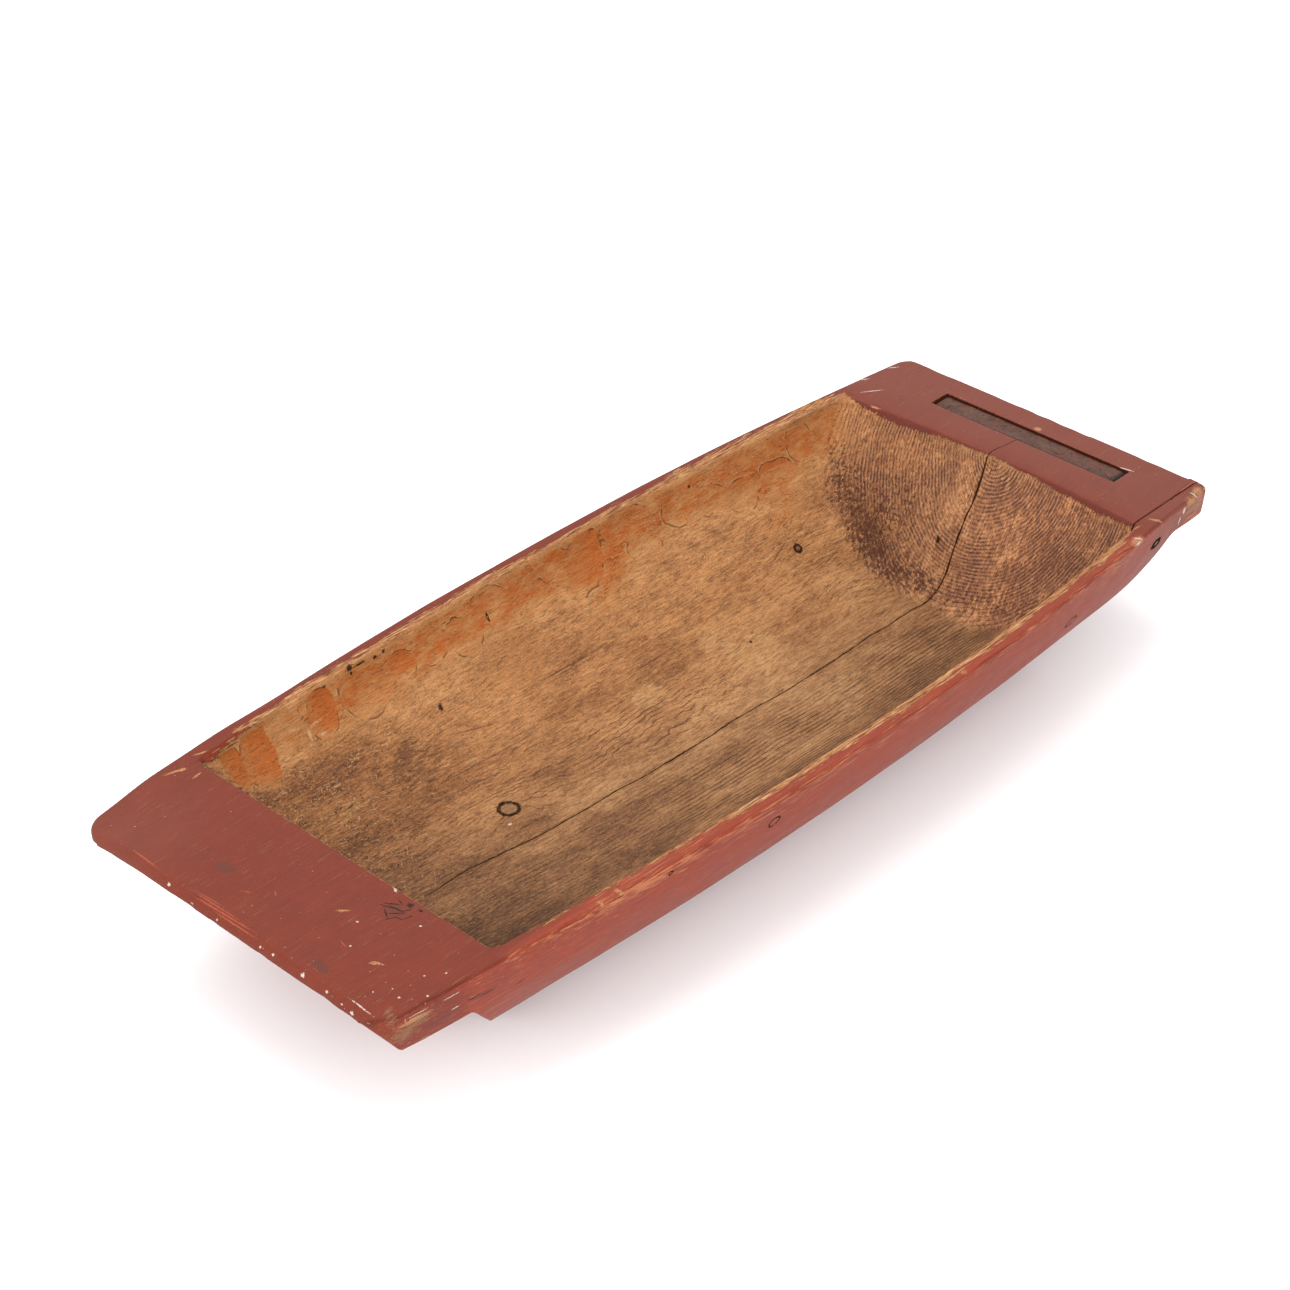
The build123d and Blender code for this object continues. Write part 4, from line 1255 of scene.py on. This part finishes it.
def marked(s, streak, colour):
    """Dust specks, chips, scratches and smears on the paint."""
    speck_cells = s.mapped(s.place, (-8.4, -4.2, -12.6), (4.2, 4.2, 4.2))
    cells = s.node("ShaderNodeTexVoronoi", {"Vector": speck_cells, "Scale": 1.0}).outputs
    lucky = s.node("ShaderNodeSeparateColor", {"Color": cells["Color"]}).outputs["Red"]
    lucky = s.between(s.add(lucky, s.field("dust")), 1.0, 1.02)
    dusty = s.times(s.between(cells["Distance"], 0.12, 0.07), lucky)
    colour = s.coat(colour, (232, 190, 176), dusty, 0.7)
    soft = s.centred(s.noise((4, 2.5, 2.5), 4.0, 0.75, (1, 4, 4)), 2.4)
    nick = s.centred(s.noise((1.3, 0.9, 0.9), 3.0, 0.75, (2, 4, 4)), 3.4)
    streaky = s.add(s.centred(streak, 7.0), s.times(nick, 0.5))
    for marks, outline, share, tint in (
        (SMUDGES, soft, 0.45, (94, 62, 54)), (TAN_CHIPS, nick, 0.9, (214, 152, 102)),
        (OLIVE_CHIPS, streaky, 0.75, (158, 122, 84)), (RED_RUBS, nick, 0.75, (202, 98, 68)),
        (PALE_CUTS, nick, 0.85, (240, 192, 146)), (WHITE_CHIPS, nick, 0.9, (250, 236, 224)),
        (BLACK_MARKS, nick, 0.95, (34, 20, 16)),
    ):
        inside = s.between(s.nearest(marks, outline), 1.05, 0.8, 0.0, share)
        colour = s.coat(colour, tint, inside)
    return colour


def open_gaps(s):
    """Painted shade in the mortise's open edges, the long crack and the split, from 0 to 1."""
    aside = s.vector("ABSOLUTE", s.vector("SUBTRACT", s.place, (STRAP_X, STRAP_Y, HEIGHT)))
    beyond = s.axes(s.vector("SUBTRACT", aside, (*MORTISE_HALF, 0)))
    fuzz = s.centred(s.noise((2, 2, 2), 3.0, 0.6, (9, 9, 1)), 1.2)
    # painted shade: a dark line just outside the mortise's edges
    shaded_mortise_edge = s.between(s.add(s.largest(beyond["X"], beyond["Y"]), fuzz), 0.7, 0.1)
    shaded_mortise_edge = s.times(shaded_mortise_edge, s.between(beyond["Z"], 9, 7))
    wobble = s.centred(s.noise((3, 3, 3), 2.0), 0.5)
    opened = s.field("crack_open")
    off_line = s.size_of(s.add(s.field("crack"), wobble))
    crack = s.between(s.minus(off_line, opened), 0.3, -0.08)
    crack = s.times(crack, s.between(opened, 0.01, 0.12))
    split = s.between(s.size_of(s.add(s.field("split"), s.times(wobble, 0.5))), 0.7, 0.3)
    return s.largest(crack, split, shaded_mortise_edge)


def knotted(s, colour, gap):
    """Knots: black ringed ones, small dark ones, and the eyes in the painted side."""
    jitter = s.centred(s.noise((2.4, 2.4, 3), 4.0, 0.75, (2, 4, 4)), 0.9)
    for place, size, turn, thick, eye in KNOTS:
        at = s.nearest([(place, size, turn)], jitter)
        line = s.between(s.size_of(s.minus(at, 1.0)), thick, thick * 0.3)
        if eye:
            colour = s.coat(colour, eye, s.between(at, 1.0, 0.6, 0.0, 0.6))
        colour = s.coat(colour, (34, 22, 16), line, 0.9)
        gap = s.largest(gap, s.times(line, 0.6))
    return colour, gap


def trough_material():
    s = Shader("painted_wood")
    path, scuff = s.field("rimmed"), s.field("scuff")
    wood, wood_rough, wood_height = bare_wood(s, path)
    red, red_rough, red_height = red_paint(s, path, scuff)
    covered, streak = painted_cover(s, scuff)
    colour = marked(s, streak, s.mix(covered, wood, red))
    gap = open_gaps(s)
    # painted shade: the mortise's edges, the long crack and the split darkened to near black
    colour = s.coat(colour, (54, 24, 8), gap, 0.9)
    scored = s.between(s.nearest(SCORES, s.centred(s.noise((9, 2, 2), 3.0), 0.8)), 1.1, 0.6)
    colour = s.coat(colour, (86, 44, 36), scored, 0.6)
    colour, gap = knotted(s, colour, gap)
    bare = s.minus(1.0, covered)
    rough = s.add(s.times(wood_rough, bare), s.times(covered, red_rough))
    height = s.add(s.times(wood_height, bare), s.times(red_height, covered),
                   s.times(covered, 0.35), s.times(gap, -2.0))
    return s.finish(colour, rough, s.between(gap, 0.0, 0.5, 0.12, 0.0), height, 0.001)


def iron_material():
    """Old forged iron: grey-brown rust, black pits, rubbed edges and a little red paint."""
    s = Shader("rusted_iron")
    broad = s.noise((9, 16, 9), 4.0, 0.65)
    rust = s.noise((2.6, 3.4, 2.6), 4.0, 0.7, (4, 1, 2))
    grain = s.noise((0.8, 1.0, 0.8), 2.0, 0.7, (8, 3, 1))
    tone = s.weighted((broad, 0.45), (rust, 0.4), (grain, 0.2))
    colour = s.ramp(tone, (0.3, 58, 35, 26), (0.45, 90, 57, 44), (0.55, 113, 74, 58),
                    (0.68, 132, 87, 69), (0.8, 156, 112, 90))
    painted_spots = s.patches((5, 12, 5), 5.0, 0.7, (1, 6, 3), 0.52, 0.6)
    colour = s.coat(colour, (132, 66, 50), painted_spots, 0.7)
    pit = s.patches((2.2, 2.8, 2.2), 3.0, 0.6, (7, 7, 1), 0.4, 0.34)
    colour = s.coat(colour, (38, 28, 26), pit, 0.75)
    # the strap's right end darkened near black
    along = s.add(s.axes(s.place)["Y"], s.centred(rust, 4.0))
    dark_end = s.between(along, STRAP_Y - 85.5, STRAP_Y - 87.5)
    colour = s.coat(colour, (44, 26, 18), dark_end, 0.9)
    s.surface["Metallic"].default_value = 0.15
    height = s.weighted((rust, 0.5), (grain, 0.2), (pit, -0.4))
    return s.finish(colour, 0.62, 0.25, height, 0.0006)


# ======== camera
def facing(place, aim):
    """Rotation of a camera or light at a place that looks at an aim, both in metres."""
    return (Vector(aim) - Vector(place)).to_track_quat("-Z", "Y")


CAMERA_PLACE, CAMERA_AIM = (-1.3174, -1.1983, 1.3444), (-0.0280, 0.0177, 0.1280)
CAMERA_TILT = math.radians(-0.052)
scene = bpy.context.scene
camera_data = bpy.data.cameras.new("camera")
camera_data.lens = 81.74
camera_data.sensor_width = 36.0
camera_data.clip_end = 100.0
camera = bpy.data.objects.new("camera", camera_data)
scene.collection.objects.link(camera)
camera.matrix_world = (Matrix.Translation(CAMERA_PLACE)
                       @ facing(CAMERA_PLACE, CAMERA_AIM).to_matrix().to_4x4()
                       @ Matrix.Rotation(CAMERA_TILT, 4, "Z"))
bpy.context.scene.camera = camera


# ======== light and floor
def softbox(name, place, aim, size, power):
    data = bpy.data.lights.new(name, "AREA")
    data.shape = "RECTANGLE"
    data.size, data.size_y = size
    data.energy = power
    light = bpy.data.objects.new(name, data)
    light.location = place
    light.rotation_euler = facing(place, aim).to_euler()
    scene.collection.objects.link(light)


def paper_floor(side):
    """A pale matt floor, side metres from its middle to each edge."""
    mesh = bpy.data.meshes.new("floor")
    corners = [(-side, -side, 0), (side, -side, 0), (side, side, 0), (-side, side, 0)]
    mesh.from_pydata(corners, [], [(0, 1, 2, 3)])
    paper = bpy.data.materials.new("paper")
    paper.use_nodes = True
    surface = paper.node_tree.nodes["Principled BSDF"].inputs
    surface["Base Color"].default_value = (0.82, 0.815, 0.825, 1)
    surface["Roughness"].default_value = 0.9
    surface["Specular IOR Level"].default_value = 0.1
    mesh.materials.append(paper)
    made = bpy.data.objects.new("floor", mesh)
    scene.collection.objects.link(made)
    return made


scene.view_settings.view_transform = "Standard"
scene.world = bpy.data.worlds.new("studio")
scene.world.use_nodes = True
sky = scene.world.node_tree.nodes["Background"].inputs
sky["Color"].default_value = (1, 1, 1, 1)
sky["Strength"].default_value = 1.45
softbox("overhead", (0.1, 0.6, 2.6), (0, 0, 0), (2.4, 2.4), 48)
softbox("front", (-1.6, -2.4, 1.5), (0, 0, 0.05), (2.4, 1.8), 58)
softbox("left", (-2.5, 0.7, 1.3), (0, 0, 0.05), (1.6, 1.6), 30)
floor = paper_floor(9.0)


# ======== pieces
iron = iron_material()
shown = [(body, "trough_body", "trough_body", trough_material()),
         (strap, "iron_strap", "iron_strap", iron)]
shown += [(nail, f"strap_nail_{number}", "strap_nails", iron)
          for number, nail in enumerate(nails, start=1)]
for piece, node, slot, material in shown:
    piece.data.materials.append(material)
    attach(piece, "root")
    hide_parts(node)
